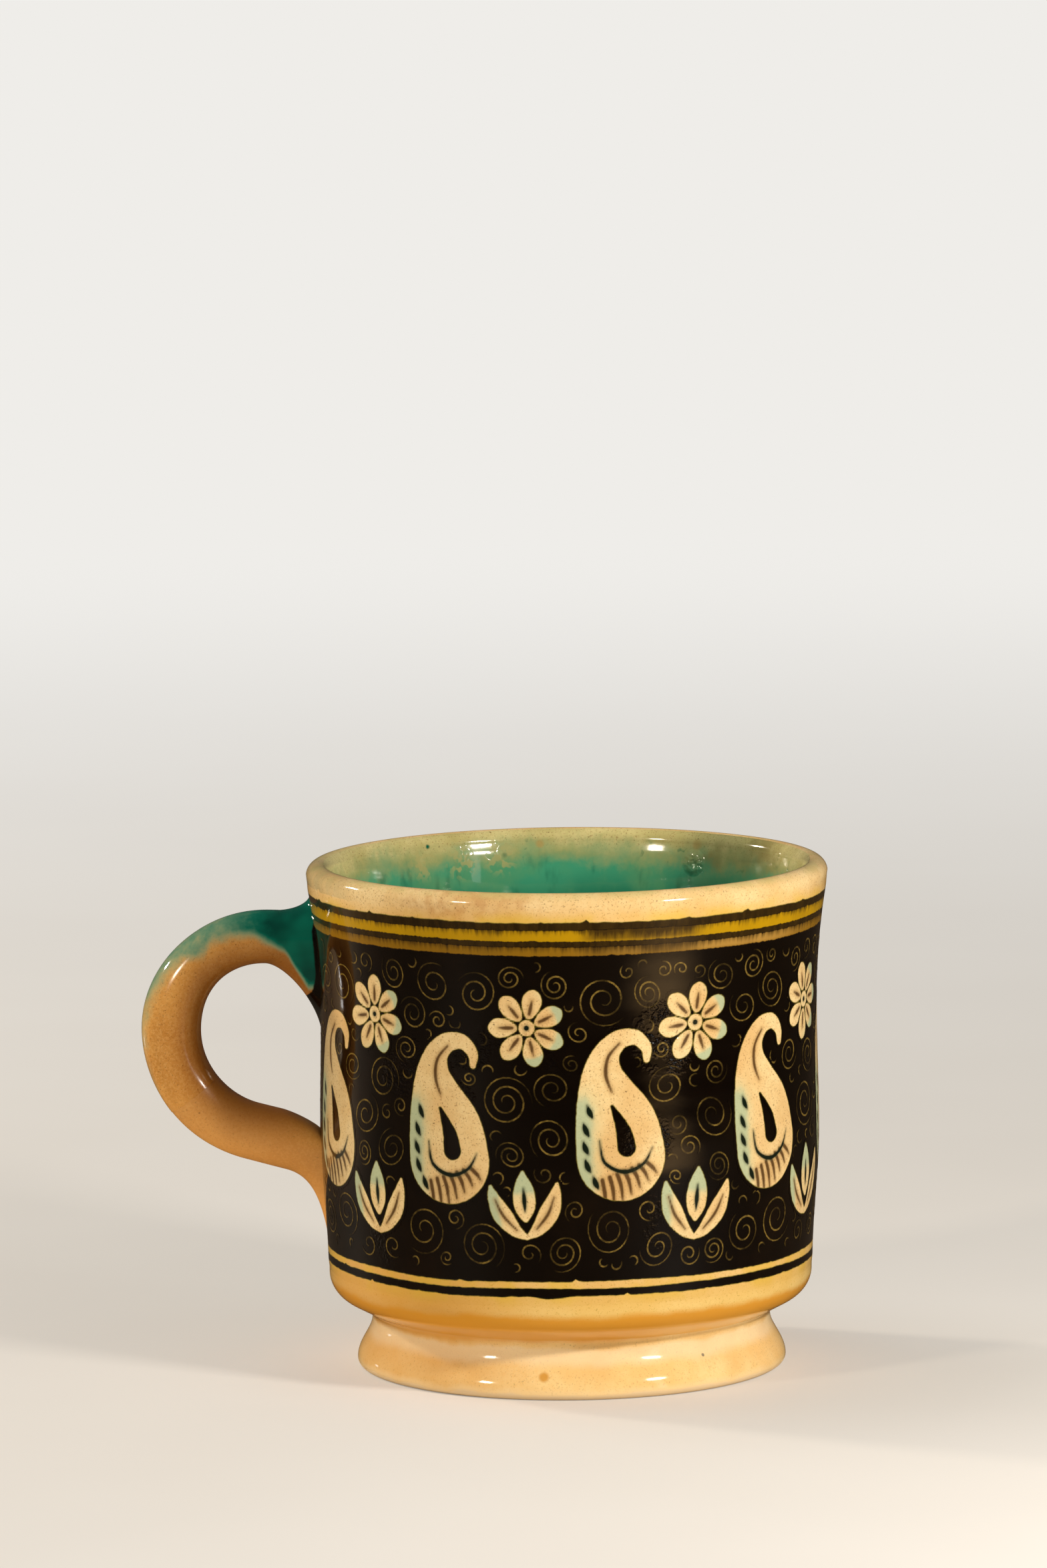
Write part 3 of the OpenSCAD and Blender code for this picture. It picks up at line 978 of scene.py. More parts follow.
# %% Field, lines and stripes
finish_piece("black_field", band("field_low", "amber_low", below="line_top", inner_rows=60),
             black_slip, ["black_slip_field"])
finish_piece("top_black_line", band("yellow_top", "top", above="fade", inner_rows=2),
             thin_black_slip, ["black_slip_lines"])
finish_piece("middle_black_line", band("amber_top", "yellow_low", inner_rows=2),
             thin_black_slip, ["black_slip_lines"])
finish_piece("lower_black_line", band("line_low", "line_top", below="fade", above="field_low",
                                      inner_rows=2), black_slip, ["black_slip_lines"])
finish_piece("yellow_stripe", band("yellow_low", "yellow_top", inner_rows=7), yellow_slip,
             ["yellow_slip_stripe"])
finish_piece("amber_stripe", band("amber_low", "amber_top", inner_rows=7), amber_slip,
             ["amber_slip_stripe"])

# %% [markdown]
# ## The handle
#
# A round strap of clay is pulled, bent to a D and pressed on. Its middle line
# is a short straight, a tight upper bend, a wider lower one, and an end that
# falls to the wall. The strap is a sheet rolled round that line. It is thinner
# at the top, where it was pulled longest.

# %% The handle's middle line
UPPER_Z = 76.4
UPPER_BEND_R = 16.4
LOWER_BEND_R = 18.8
FALL = math.radians(15)
MID_X = 70.1
BEND_Z = UPPER_Z - UPPER_BEND_R
ROOT_X = 41.8
END_X = MID_X - LOWER_BEND_R * (1 - math.sin(FALL))
RUNS = (MID_X - UPPER_BEND_R - ROOT_X, UPPER_BEND_R * math.pi / 2,
        LOWER_BEND_R * (math.pi / 2 - FALL), (END_X - ROOT_X) / math.cos(FALL))
HANDLE_LEN = sum(RUNS)
TOP_T, FULL_T, LOW_T = 9.5, 10.46, 10.4
TOP_SHARE = 0.35
SQUEEZE = 0.14


def handle_line(s):
    """The place s millimetres along the middle line, and the direction there (outward, up)."""
    if s < RUNS[0]:
        return (ROOT_X + s, UPPER_Z), (1, 0)
    s -= RUNS[0]
    if s < RUNS[1]:
        a = math.pi / 2 - s / UPPER_BEND_R
        return ((MID_X - UPPER_BEND_R + UPPER_BEND_R * math.cos(a),
                 BEND_Z + UPPER_BEND_R * math.sin(a)), (math.sin(a), -math.cos(a)))
    s -= RUNS[1]
    a = -min(s, RUNS[2]) / LOWER_BEND_R
    out = MID_X - LOWER_BEND_R + LOWER_BEND_R * math.cos(a)
    high = BEND_Z + LOWER_BEND_R * math.sin(a)
    past = max(0, s - RUNS[2])
    way = (math.sin(a), -math.cos(a))
    return (out + way[0] * past, high + way[1] * past), way


def strap_r(s):
    """Half the strap's thickness along its length."""
    top = RUNS[0] + RUNS[1] * TOP_SHARE
    full = RUNS[0] + RUNS[1]
    if s < full:
        return blend(TOP_T, FULL_T, min(1, max(0, (s - top) / (full - top)))) / 2
    return blend(FULL_T, LOW_T, min(1, (s - full) / RUNS[2])) / 2


def on_strap(s, turn, stand=0):
    """On the strap, turn degrees from its outer or upper side round towards the back."""
    (out, high), (dx, dz) = handle_line(s)
    a = math.radians(turn)
    squeeze = noise.noise(Vector((s / 14, math.cos(a) * 0.8, math.sin(a) * 0.8))) - 0.5
    r = strap_r(s) + SQUEEZE * min(0, squeeze) + stand
    side = math.cos(a) * r
    return Vector((-(out - dz * side), math.sin(a) * r, high + dx * side))


print("handle length:", round(HANDLE_LEN, 1), "mm")

# %% [markdown]
# ## The roots
#
# Each root is a wad of soft clay smoothed between strap and wall. Round the
# strap, every point has a line that would run straight to the wall. The wad
# leaves the strap early and lands on the wall further out, in a curve that
# starts along the strap. Its shape changes from the top over the sides to the
# underside: a flare and a long sweep at the upper root, and a drooping top
# and a tail thumbed down the wall at the lower one. The strap stops where the
# wads take over, so the three pieces meet edge to edge.


# %% Where a wad leaves the strap and lands on the wall
HANDLE_U = -math.pi / 2 * BAND_R
WALL_WITHIN = 25.0
WAD_SINK = 0.1


def wall_hit(start, way):
    """How far along a straight line from start the wall is."""
    outside, inside = 0.0, WALL_WITHIN
    for _ in range(30):
        t = (outside + inside) / 2
        p = start + way * t
        if math.hypot(p.x, p.y) > wall_r(p.z) * thrown(math.atan2(p.y, p.x), p.z):
            outside = t
        else:
            inside = t
    return (outside + inside) / 2


class Root:
    """One end of the handle. Each shape is given for the wad's top, sides and underside: how
    early it leaves the strap, how far up it lands, how long it leads on along the strap, how
    much it sags and stands proud halfway, and how far it spreads."""

    def __init__(self, s_wall, sign, sharp, **shapes):
        self.s_wall, self.sign, self.sharp, self.shapes = s_wall, sign, sharp, shapes
        dx, dz = handle_line(s_wall)[1]
        self.inward = Vector((sign * dx, 0, -sign * dz))

    def shape(self, name, turn):
        top, side, low = self.shapes[name]
        up = self.sign * math.cos(math.radians(turn))
        if up > 0:
            return side + (top - side) * up ** 2
        return side + (low - side) * abs(up) ** self.sharp

    def leave_s(self, turn):
        return self.s_wall + self.sign * self.shape("early", turn)

    def place(self, u, v):
        turn = u * 360
        a = math.radians(turn)
        leave = on_strap(self.leave_s(turn), turn)
        hit = wall_hit(leave, self.inward)
        corner = leave + self.inward * hit
        reach = self.shape("landing", turn)
        corner_u = (math.atan2(corner.y, corner.x) % (2 * math.pi) - math.pi) * BAND_R + HANDLE_U
        sideways = abs(reach) * math.sin(a) * self.shape("spread", turn)
        end = on_wall(corner_u - sideways, corner.z + reach, -WAD_SINK)
        outward = Vector((corner.x, corner.y, 0)).normalized()
        lead = leave + self.inward * hit * self.shape("lead", turn)
        pull = (corner + (end - corner) * self.shape("sag", turn)
                + outward * self.shape("proud", turn))
        w = 1 - v
        return leave * w ** 3 + lead * 3 * v * w ** 2 + pull * 3 * v ** 2 * w + end * v ** 3


upper_root = Root(2.7, 1, 2, early=(6.5, 5.0, 9.0), landing=(2.85, 0, -13.0),
                  lead=(0.35, 0.35, 0.35), sag=(0.3, 0.2, 0.55), proud=(0.5, 0.5, 0.2),
                  spread=(0.6, 0, 0.3))
lower_root = Root(HANDLE_LEN - 2.4, -1, 4, early=(8.5, 4.0, 5.0), landing=(-2.7, 0, -11.2),
                  lead=(0.35, 0.4, 0.62), sag=(0.5, 0.3, 0.24), proud=(0, 0.3, 0.74),
                  spread=(0, 0, 0.12))

# %% Strap
TURNS = 64


def strap_place(u, v):
    turn = u * 360
    start, stop = upper_root.leave_s(turn), lower_root.leave_s(turn)
    return on_strap(start + (stop - start) * v, turn)


strap = sheet(TURNS, 110, strap_place, wrap=True)
bmesh.ops.recalc_face_normals(strap, faces=strap.faces)
finish_piece("handle", strap, handle_glaze, ["handle"])


# %% [markdown]
# ## Green on the handle
#
# The green glaze ran from the rim over the upper root and down the strap's
# upper side. It is dark where it is thick at the root, and fades in a soft
# ragged edge. On the wad it is part of the finish, and on the strap it is a
# skin of its own. Each corner knows how wet it is, and the finish shows the
# clay where it is dry. The black slip was brushed over the rim of the wad, so
# there each corner also knows how far under the black it lies.


# %% How wet each place is
DRY = -0.6
# Along the strap: how far up its side the green's edge lies, and how thick the green is
WET_S = (4.0, 4.9, 6.1, 7.0, 8.0, 9.5, 11.5, 13.4, 18, 26, 36, 48)
WET_LIMIT = (-1.98, -1.65, -1.27, -0.9, -0.58, -0.39, -0.2, 0.02, 0.13, 0.4, 0.7, 0.97)
THICK_S = (9, 13, 18, 44)
THICK = (1.22, 0.82, 0.52, 0.38)
DRIP = (22.9, 3, 0.28)
WET_STEEP = 2.2
# Up the wad: how far from the wall the black slip reaches
LAP_Z = (62, 65.6, 67, 69.5, 78, 80.5)
LAP = (4, 3, 1.5, 0.8, 0.7, -0.4)


def wetness(s, up):
    """Up to 1 in the thick of the green, below 0 on bare clay. up is the height over the
    strap's middle line, as a share of its radius."""
    limit = np.interp(s, WET_S, WET_LIMIT) - dab(s, *DRIP)
    return float(np.clip((up - limit) * WET_STEEP, DRY, 1.0) * np.interp(s, THICK_S, THICK))


def under_slip(p):
    """Above 0 where the black slip laps over the upper wad, at a place on it."""
    stand = math.hypot(p.x, p.y) - wall_r(p.z)
    return float(np.clip((np.interp(p.z, LAP_Z, LAP) - stand) * 2, -1, 1))


def face_up(bm):
    """Faces a curved skin outwards, by its topmost face."""
    bmesh.ops.recalc_face_normals(bm, faces=bm.faces)
    top = max(bm.faces, key=lambda f: f.calc_center_median().z)
    if top.normal.z < 0:
        bmesh.ops.reverse_faces(bm, faces=bm.faces)


# %% The wads
NOT_LAPPED = -1.0


def wad_mesh(root, green):
    """The wad as a sheet, with the green and the black on it where green is true."""
    bm = sheet(TURNS, 24, root.place)
    wet = bm.verts.layers.float.new("green")
    slip = bm.verts.layers.float.new("slip")
    for v in bm.verts:
        v[wet] = wetness(-v.co.x - ROOT_X, (v.co.z - UPPER_Z) / TOP_T * 2) if green else DRY
        v[slip] = under_slip(v.co) if green else NOT_LAPPED
    bmesh.ops.remove_doubles(bm, verts=bm.verts, dist=MERGE)
    face_up(bm)
    return bm


finish_piece("upper_root_wad", wad_mesh(upper_root, True), green_over_clay,
             ["upper_root_wad"])
finish_piece("lower_root_wad", wad_mesh(lower_root, False), handle_glaze,
             ["lower_root_wad"])


# %% The green that has run down the strap
RUN_STOP = 50
RUN_SIDE = 150
RUN_STAND, RUN_T = 0.02, 0.08
CUT_DRY = -0.3


def green_run():
    bm = sheet(72, 64, lambda u, v: Vector((u, v, 0)))
    green = bm.verts.layers.float.new("green")
    slip = bm.verts.layers.float.new("slip")
    for v in bm.verts:
        turn = RUN_SIDE * (2 * v.co.x - 1)
        start = upper_root.leave_s(turn)
        s = start + (RUN_STOP - start) * v.co.y
        wet = wetness(s, math.cos(math.radians(turn)))
        v[green] = wet
        v[slip] = NOT_LAPPED
        thick = RUN_T * min(1, (s - start) / 2) * min(1, max(0, wet + 0.5))
        v.co = on_strap(s, turn, RUN_STAND + thick)
    dry = [f for f in bm.faces if all(v[green] < CUT_DRY for v in f.verts)]
    bmesh.ops.delete(bm, geom=dry, context="FACES")
    face_up(bm)
    return bm


finish_piece("green_run", green_run(), green_over_clay, ["green_handle_glaze"])

# %% [markdown]
# ## The pattern
#
# The pattern is bare clay left in the black, with brushwork on it. It is the
# curled leaf and the flower of folk pottery the world over. A shape is a
# string of beads, each a place and a radius, and its outline is where the
# smooth skin round the beads lies. That gives every corner of a fine sheet its
# distance from the outline, so the edge can be soft without a picture.


# %% Strings of beads
STEPS = 5
FAR_OUT = 99.0


def smooth_string(beads):
    """More beads between the given ones, on a curve through them."""
    result = []
    for i in range(len(beads) - 1):
        p0, p1 = np.array(beads[max(0, i - 1)]), np.array(beads[i])
        p2, p3 = np.array(beads[i + 1]), np.array(beads[min(len(beads) - 1, i + 2)])
        for t in span(0, 1, STEPS)[:-1]:
            result.append(0.5 * (2 * p1 + (p2 - p0) * t + (2 * p0 - 5 * p1 + 4 * p2 - p3) * t ** 2
                                 + (3 * p1 - p0 - 3 * p2 + p3) * t ** 3))
    result.append(np.array(beads[-1]))
    return result


def inside_string(x, y, beads):
    """How deep (x, y) lies inside the skin round the beads, in millimetres."""
    best = np.full_like(x, -FAR_OUT)
    for (ax, ay, ar), (bx, by, br) in zip(beads, beads[1:]):
        dx, dy = bx - ax, by - ay
        t = np.clip(((x - ax) * dx + (y - ay) * dy) / max(dx * dx + dy * dy, 1e-9), 0, 1)
        depth = ar + t * (br - ar) - np.hypot(x - ax - t * dx, y - ay - t * dy)
        best = np.maximum(best, depth)
    return best


def strings_depth(x, y, strings):
    """The same for the string that it lies deepest in."""
    return np.maximum.reduce([inside_string(x, y, beads) for beads in strings])


def both_sides(beads):
    """One string, and its mirror image."""
    return [smooth_string(beads), smooth_string([(-x, y, r) for x, y, r in beads])]


# %% The curled leaf
LEAF = smooth_string([(0.5, -5.6, 6.9), (-0.1, -1.4, 6.4), (-1.5, 3.0, 4.7), (-2.3, 6.9, 3.1),
                      (-1.7, 10.2, 2.05), (0.3, 12.4, 1.5), (2.9, 12.7, 1.15),
                      (4.6, 11.1, 0.85), (4.7, 9.2, 0.5)])
LEAF_SEED = smooth_string([(1.3, -4.2, 1.5), (0.9, -1.9, 1.25), (0.0, 0.4, 0.75),
                           (-0.9, 2.2, 0.3)])
LEAF_LINE = smooth_string([(-2.9, -3.0, 0.2), (-2.2, -6.4, 0.36), (0.8, -8.0, 0.42),
                           (3.9, -6.9, 0.34), (5.4, -4.4, 0.16)])
LEAF_FAN = 7
LEAF_VEINS = [smooth_string([(0.9 + 1.15 * k, -7.9 + 0.42 * k, 0.3),
                             (1.6 + 1.25 * k, -9.5 + 0.66 * k, 0.28),
                             (2.0 + 1.35 * k, -11.6 + 1.05 * k, 0.12)])
              for k in range(-3, LEAF_FAN - 3)]
LEAF_VEINS.append(smooth_string([(-0.9, 4.4, 0.12), (-1.8, 7.0, 0.26), (-1.4, 9.8, 0.22),
                                 (0.4, 11.9, 0.12)]))
LEAF_DASHES = [smooth_string([(x - 0.35, y + 1.1, 0.1), (x, y, 0.44), (x + 0.45, y - 0.9, 0.16)])
               for x, y in ((-3.6, -9.6), (-4.8, -7.0), (-5.1, -4.2), (-5.0, -1.4), (-4.4, 1.4))]


def leaf(x, y):
    """Depth in the clay, in the ink and in the veins, and the blush, at each place."""
    bare = np.minimum(inside_string(x, y, LEAF), -inside_string(x, y, LEAF_SEED))
    blush = np.clip((-1.6 - x) / 3.4, 0, 1) * np.clip((7 - y) / 5, 0, 1)
    ink = np.maximum(strings_depth(x, y, LEAF_DASHES), inside_string(x, y, LEAF_LINE) - 0.1)
    return bare, ink, strings_depth(x, y, LEAF_VEINS), blush


print("beads in a leaf:", len(LEAF), "veins:", len(LEAF_VEINS))


# %% The flower
PETALS = 7
PETAL = smooth_string([(2.6, 0, 0.85), (4.0, 0, 1.55), (5.2, 0, 1.75), (6.3, 0, 0.9)])
PETAL_VEIN = smooth_string([(2.6, 0, 0.24), (3.8, 0, 0.3), (5.2, 0, 0.1)])
HEART_R, DOT_R = 1.45, 0.5


def flower(x, y):
    """The same for a flower. Every petal is turned onto the one that points along x."""
    angle = np.arctan2(y, x)
    far = np.hypot(x, y)
    step = 2 * math.pi / PETALS
    local = (angle + step / 2) % step - step / 2
    px, py = far * np.cos(local), far * np.sin(local)
    bare = np.maximum(inside_string(px, py, PETAL), HEART_R - far)
    blush = np.clip((far - 4.6) / 1.6, 0, 1) * np.clip(0.5 - np.sin(angle - 0.6), 0, 1)
    return bare, DOT_R - far, inside_string(px, py, PETAL_VEIN), blush


print("petals:", PETALS)


# %% The sprig: a bud between two leaves
SPRIG = both_sides([(0, -5.6, 0.35), (-2.2, -4.0, 1.2), (-4.3, -1.2, 1.75), (-5.6, 1.8, 1.1),
                    (-6.1, 4.0, 0.3)])
SPRIG.append(smooth_string([(0, -2.2, 0.5), (0, 0.4, 1.9), (0, 3.2, 1.75), (0, 6.4, 0.3)]))
SPRIG_VEINS = both_sides([(-1.8, -4.1, 0.12), (-4.1, -1.4, 0.26), (-5.4, 1.6, 0.1)])
BUD_LINE = smooth_string([(0, -0.8, 0.1), (0, 1.2, 0.42), (0, 3.6, 0.12)])


def sprig(x, y):
    """The same for a sprig, with the blush on the bud's tip and the left leaf."""
    blush = np.clip((y - 0.5) / 3, 0, 1) * (np.abs(x) < 2.6)
    blush = np.maximum(blush, np.clip((-3.4 - x) / 2, 0, 1))
    return (strings_depth(x, y, SPRIG), inside_string(x, y, BUD_LINE),
            strings_depth(x, y, SPRIG_VEINS), blush)


print("strings in a sprig:", len(SPRIG))

# %% [markdown]
# ## Laying the pattern on the wall
#
# Columns go round the wall: a curled leaf, then a flower over a sprig, and so
# on. The column behind the handle stays empty. The hand never repeats exactly,
# so each one is turned, sized and shifted a little.

# %% Where each one goes
COLUMNS = 18
COLUMN_GAP = GIRTH / COLUMNS
TURN, GROW, SHIFT = 5, 0.04, 0.5
# Height and size of each kind, and half the sheet that it needs, across and up
KINDS = {leaf: (49.6, 1.16, (9.6, 16.6)), flower: (66.4, 0.98, (7.8, 7.8)),
         sprig: (34.6, 1.0, (7.2, 7.6))}
Motif = namedtuple("Motif", "kind u z size turn")
hand = random.Random(12)


def lay_motif(kind, u):
    """A motif at u, turned, sized and shifted a little by hand."""
    z, size, _ = KINDS[kind]
    turn, grow = math.radians(hand.uniform(-TURN, TURN)), 1 + hand.uniform(-GROW, GROW)
    shift_u, shift_z = hand.uniform(-SHIFT, SHIFT), hand.uniform(-SHIFT, SHIFT)
    if kind is flower:
        turn += hand.uniform(0, 1)
    return Motif(kind, u + shift_u, z + shift_z, size * grow, turn)


placed = []
for column in range(-4, COLUMNS - 5):
    for kind in (leaf,) if column % 2 == 0 else (flower, sprig):
        placed.append(lay_motif(kind, (column + 0.5) * COLUMN_GAP))
print("pieces of pattern:", len(placed))


# %% Make each kind one piece
CELL = 0.3
PATTERN_STAND = SLIP_STAND + 0.04
MARGIN = 0.15


def to_local(u, z, motif):
    """Turns places on the wall into the motif's own x and y."""
    du, dz = way_round(u - motif.u), z - motif.z
    c, s = math.cos(-motif.turn), math.sin(-motif.turn)
    return (du * c - dz * s) / motif.size, (du * s + dz * c) / motif.size


def lay_pattern(kind):
    """Fine sheets over all motifs of a kind, cut off a little outside their outlines."""
    half_u, half_z = KINDS[kind][2]
    bm = bmesh.new()
    layers = [bm.verts.layers.float.new(name) for name in ("bare", "ink", "vein", "blush")]
    for motif in [m for m in placed if m.kind is kind]:
        made = bmesh.ops.create_grid(bm, x_segments=round(2 * half_u / CELL),
                                     y_segments=round(2 * half_z / CELL), size=0.5)["verts"]
        us = np.array([v.co.x for v in made]) * 2 * half_u + motif.u
        zs = np.array([v.co.y for v in made]) * 2 * half_z + motif.z
        bare, ink, vein, blush = kind(*to_local(us, zs, motif))
        bare, ink, vein = bare * motif.size, ink * motif.size, vein * motif.size
        values = zip(np.maximum(0, bare + EDGE), np.maximum(-1, ink), np.maximum(-1, vein), blush)
        for v, u, z, at_place in zip(made, us, zs, values):
            for layer, value in zip(layers, at_place):
                v[layer] = float(value)
            v.co = on_wall(u, z, PATTERN_STAND)
        outside = {v for v, depth in zip(made, bare) if depth < -EDGE - MARGIN}
        lost = [f for f in {f for v in made for f in v.link_faces}
                if all(v in outside for v in f.verts)]
        bmesh.ops.delete(bm, geom=lost, context="FACES")
    face_away(bm)
    return bm


for kind, name in ((leaf, "leaf_pattern"), (flower, "flower_pattern"), (sprig, "sprig_pattern")):
    finish_piece(name, lay_pattern(kind), pattern_slip, [])

# %% [markdown]
# ## Scratched spirals
#
# The ground between is filled with spirals scratched through the black with a
# point. They go where there is room, the big ones first. Each is a thin
# ribbon, and the finish fades it towards its sides and ends.

# %% Find room for the spirals
ROOM_LOW, ROOM_HIGH = FIELD_LOW_Z + 1.65, AMBER_LOW_Z - 0.9
REACH = 24
# Lower and upper end of each root on the wall, and half its width
ROOTS = ((68, 78, 8), (24, 39, 7))
GAP_TO_PATTERN = 0.35
GAP_BETWEEN = 0.25
OVER_ROOM = 0.4
RADII = (4.7, 3.9, 3.0, 2.2, 1.5, 0.9)
TRIES = 5200


def room_at(us, zs):
    """How far each place is from the pattern."""
    nearest = np.full_like(us, FAR_OUT)
    for motif in placed:
        x, y = to_local(us, zs, motif)
        close = np.hypot(x, y) < REACH
        if close.any():
            bare = motif.kind(x[close], y[close])[0] * motif.size
            nearest[close] = np.minimum(nearest[close], -bare)
    return nearest


def clear_of_root(us, zs, low, high, half):
    """How far each place is from a root of the handle."""
    past_end = np.maximum(0, np.maximum(zs - high, low - zs))
    return np.hypot(np.abs(way_round(us - HANDLE_U)), past_end) - half


maker = np.random.default_rng(5)
try_u = maker.uniform(-GIRTH / 2, GIRTH / 2, TRIES)
try_z = maker.uniform(ROOM_LOW, ROOM_HIGH, TRIES)
room = np.minimum.reduce([room_at(try_u, try_z), try_z - ROOM_LOW + OVER_ROOM,
                          ROOM_HIGH - try_z + OVER_ROOM,
                          *(clear_of_root(try_u, try_z, *root) for root in ROOTS)])
spirals = []
for biggest, least in zip(RADII, RADII[1:]):
    for u, z, free in zip(try_u, try_z, room):
        r = min(biggest, free - GAP_TO_PATTERN)
        if r < least:
            continue
        for su, sz, sr in spirals:
            r = min(r, math.hypot(way_round(u - su), z - sz) - sr - GAP_BETWEEN)
            if r < least:
                break
        if r >= least:
            spirals.append((u, z, r))
print("spirals:", len(spirals))


# %% Scratch them
HOOK_R, SMALL_R = 1.5, 2.4
HOOK_TURNS = 0.62
STEPS_PER_TURN, LEAST_STEPS = 22, 10
INNER, HOOK_INNER = 0.14, 0.7
SCRATCH_W = 0.26
SCRATCH_STAND = SLIP_STAND + 0.03


def turns_of(r):
    """How often a spiral goes round. The smallest are mere hooks."""
    if r < HOOK_R:
        return HOOK_TURNS
    return hand.uniform(1.2, 1.7) if r < SMALL_R else hand.uniform(1.9, 2.6)


def scratch_spirals():
    bm = bmesh.new()
    across = bm.verts.layers.float.new("across")
    along = bm.verts.layers.float.new("along")
    for u0, z0, r0 in spirals:
        turns = turns_of(r0)
        made = bmesh.ops.create_grid(bm, x_segments=1, size=0.5, y_segments=max(
            LEAST_STEPS, round(turns * STEPS_PER_TURN)))["verts"]
        start, way = hand.uniform(0, 2 * math.pi), hand.choice((-1, 1))
        squash, lean = hand.uniform(0.86, 1.0), hand.uniform(0, math.pi)
        inner, (fade_in, fade_out) = (HOOK_INNER, (3, 3)) if r0 < HOOK_R else (INNER, (8, 6))
        for v in made:
            t, side = v.co.y + 0.5, v.co.x * 2
            width = SCRATCH_W * (0.72 + 0.28 * math.sin(math.pi * t))
            r = r0 * (1 - (1 - inner) * t) + side * width
            a = start + way * turns * 2 * math.pi * t
            x, y = r * math.cos(a), r * math.sin(a) * squash
            v[across] = side
            v[along] = min(1.0, fade_in * t, fade_out * (1 - t))
            u = u0 + x * math.cos(lean) - y * math.sin(lean)
            z = z0 + x * math.sin(lean) + y * math.cos(lean)
            v.co = on_wall(u, z, SCRATCH_STAND)
    face_away(bm)
    return bm


finish_piece("scratched_spirals", scratch_spirals(), scratched_slip, [])

# %% [markdown]
# ## Floor, lamps and surroundings
#
# The mug stands on a plain pale floor. A small key lamp at the right front and
# two at the left give the sparks on rim, handle and foot, and a tall thin one
# draws a long faint light down the wall. A tiny low one shows in reflections
# alone, and a big soft one overhead fills in behind without a reflection. For
# reflections only, the floor has painted pools of warm light, as a lit table
# would show, and the surroundings are dark, as in a studio, so that the black
# stays deep.

# %% Floor
BACKDROP = "#EFEDE9"
# Rows of painted pools of warm light on the floor, seen only in reflections
PATCH_WAYS = ((41, 1.0), (-122, 0.45))
PATCHES_AWAY = (300, 380, 460, 540, 620)
PATCH_FULL, PATCH_GONE = 10, 110
FLOOR_HALF = 15
FADE_AWAY = 1500


def painted_light_patches():
    """Painted pools of warm light on the floor, seen only in reflections, in two rows that lead away
    from the mug.
    """
    for azimuth, strength in PATCH_WAYS:
        a = math.radians(azimuth)
        for away in PATCHES_AWAY:
            yield (away * math.sin(a), -away * math.cos(a), 0), PATCH_FULL, PATCH_GONE, strength


def floor_finish():
    """Pale for the camera, and plainer further away. Reflections see it dark, with painted pools of
    warm light.
    """
    material = bpy.data.materials.new("pale_floor")
    material.use_nodes = True
    tree = material.node_tree
    paint = Painter(tree)
    ray = add(tree, "ShaderNodeLightPath").outputs
    cloudy = paint.mix(paint.between(paint.grain(5, 3), 0.3, 0.7), "#ECE9E4", "#E6E2DC")
    mirrored = paint.mix(paint.near_any(painted_light_patches()), "#4C3E2E", "#F0C890")
    shader = tree.nodes["Principled BSDF"]
    shader.inputs["Roughness"].default_value = 0.7
    tree.links.new(paint.mix(ray["Is Glossy Ray"], cloudy, mirrored), shader.inputs["Base Color"])
    distance = paint.near((0, 0, 0), FADE_AWAY, 0)
    far = paint.times(paint.calc("MULTIPLY_ADD", distance, 0.75, 0.25), ray["Is Camera Ray"])
    plain = add(tree, "ShaderNodeEmission", {"Color": BACKDROP, "Strength": 1.0})
    both = add(tree, "ShaderNodeMixShader", {0: far, 1: shader.outputs[0], 2: plain.outputs[0]})
    tree.links.new(both.outputs[0], tree.nodes["Material Output"].inputs["Surface"])
    return material


floor_bm = bmesh.new()
bmesh.ops.create_grid(floor_bm, x_segments=4, y_segments=4, size=FLOOR_HALF)
floor_mesh = bpy.data.meshes.new("floor")
floor_bm.to_mesh(floor_mesh)
floor_bm.free()
floor_mesh.materials.append(floor_finish())
floor = bpy.data.objects.new("floor", floor_mesh)
bpy.context.scene.collection.objects.link(floor)
print("floor:", 2 * FLOOR_HALF, "m wide")

# %% Lamps
LAMP_AIM = Vector((0, 0, 50)) * MM
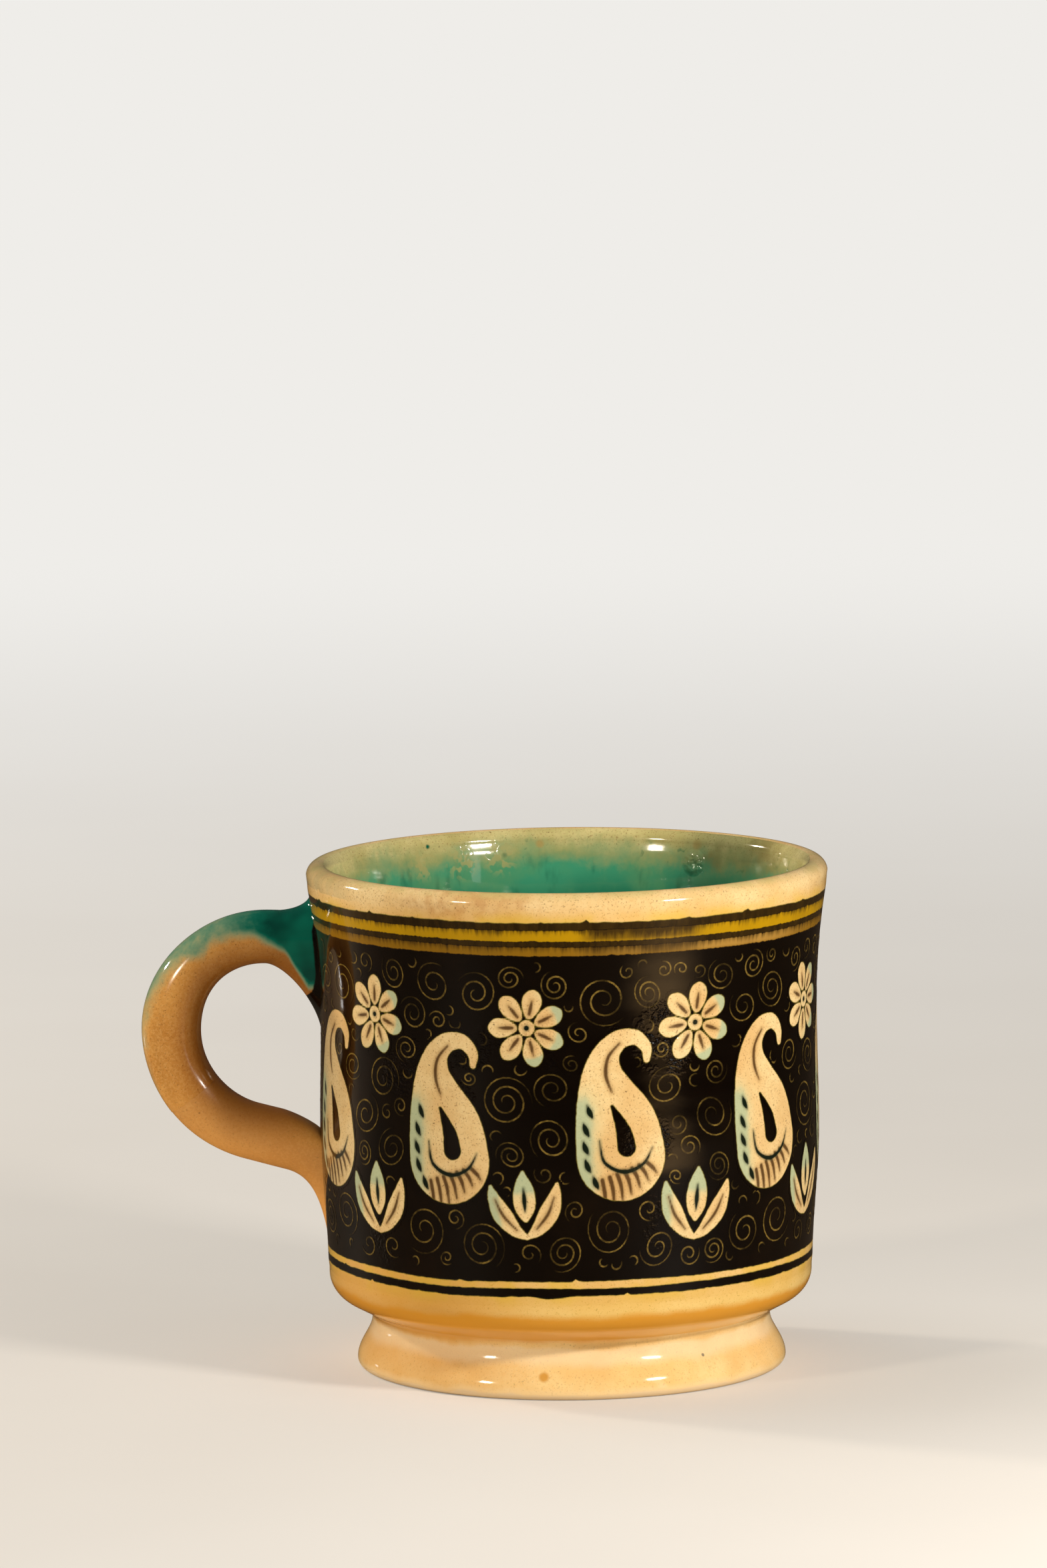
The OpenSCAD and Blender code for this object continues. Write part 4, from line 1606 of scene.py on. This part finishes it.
# Azimuth, elevation, distance, width, height, power and colour. Azimuth 0 is the camera's
# side and 90 the right.
LAMPS = {
    "key": (47, 24, 0.42, 0.062, 0.016, 1.24, "#FFF5E8"),
    "left_front": (-49, 24, 1.3, 0.14, 0.09, 4.2, "#FFEFD8"),
    "left_back": (-117, 25, 1.3, 0.12, 0.07, 6.2, "#FFEFD8"),
    "low_left": (-123, -8, 0.3, 0.016, 0.014, 0.0025, "#FFFFFF"),
    "tall": (48, 14, 1.8, 0.16, 1.1, 0.9, "#FFFFFF"),
    "overhead": (-112, 56, 1.5, 0.8, 0.8, 4.8, "#FFFFFF"),
}


def lamp(name, azimuth, elevation, distance, width, height, power, colour):
    """A soft box that looks at the mug."""
    light = bpy.data.lights.new(name, "AREA")
    light.shape = "RECTANGLE"
    light.size, light.size_y = width, height
    light.energy = power
    light.color = srgb(colour)[:3]
    a, e = math.radians(azimuth), math.radians(elevation)
    way = Vector((math.sin(a) * math.cos(e), -math.cos(a) * math.cos(e), math.sin(e)))
    obj = bpy.data.objects.new(name, light)
    obj.location = LAMP_AIM + way * distance
    obj.rotation_euler = (-way).to_track_quat("-Z", "Y").to_euler()
    bpy.context.scene.collection.objects.link(obj)
    return obj


lamps = {name: lamp(name, *settings) for name, settings in LAMPS.items()}
lamps["low_left"].visible_diffuse = False
lamps["overhead"].visible_glossy = False
print("lamps:", sorted(lamps))


# %% Surroundings
def background(tree, colour, strength):
    return add(tree, "ShaderNodeBackground", {"Color": colour, "Strength": strength}).outputs[0]


def surroundings():
    """Warm fill for the object, darker for reflections and pale for the camera."""
    world = bpy.data.worlds.new("studio")
    world.use_nodes = True
    tree = world.node_tree
    tree.nodes.clear()
    ray = add(tree, "ShaderNodeLightPath").outputs
    unseen = add(tree, "ShaderNodeMixShader",
                 {0: ray["Is Glossy Ray"], 1: background(tree, "#F4EBDD", 0.31),
                  2: background(tree, "#77726E", 0.3)})
    both = add(tree, "ShaderNodeMixShader",
               {0: ray["Is Camera Ray"], 1: unseen.outputs[0], 2: background(tree, BACKDROP, 1.0)})
    add(tree, "ShaderNodeOutputWorld", {"Surface": both.outputs[0]})
    return world


bpy.context.scene.world = surroundings()
bpy.context.scene.view_settings.view_transform = "Standard"
print("world:", bpy.context.scene.world.name)
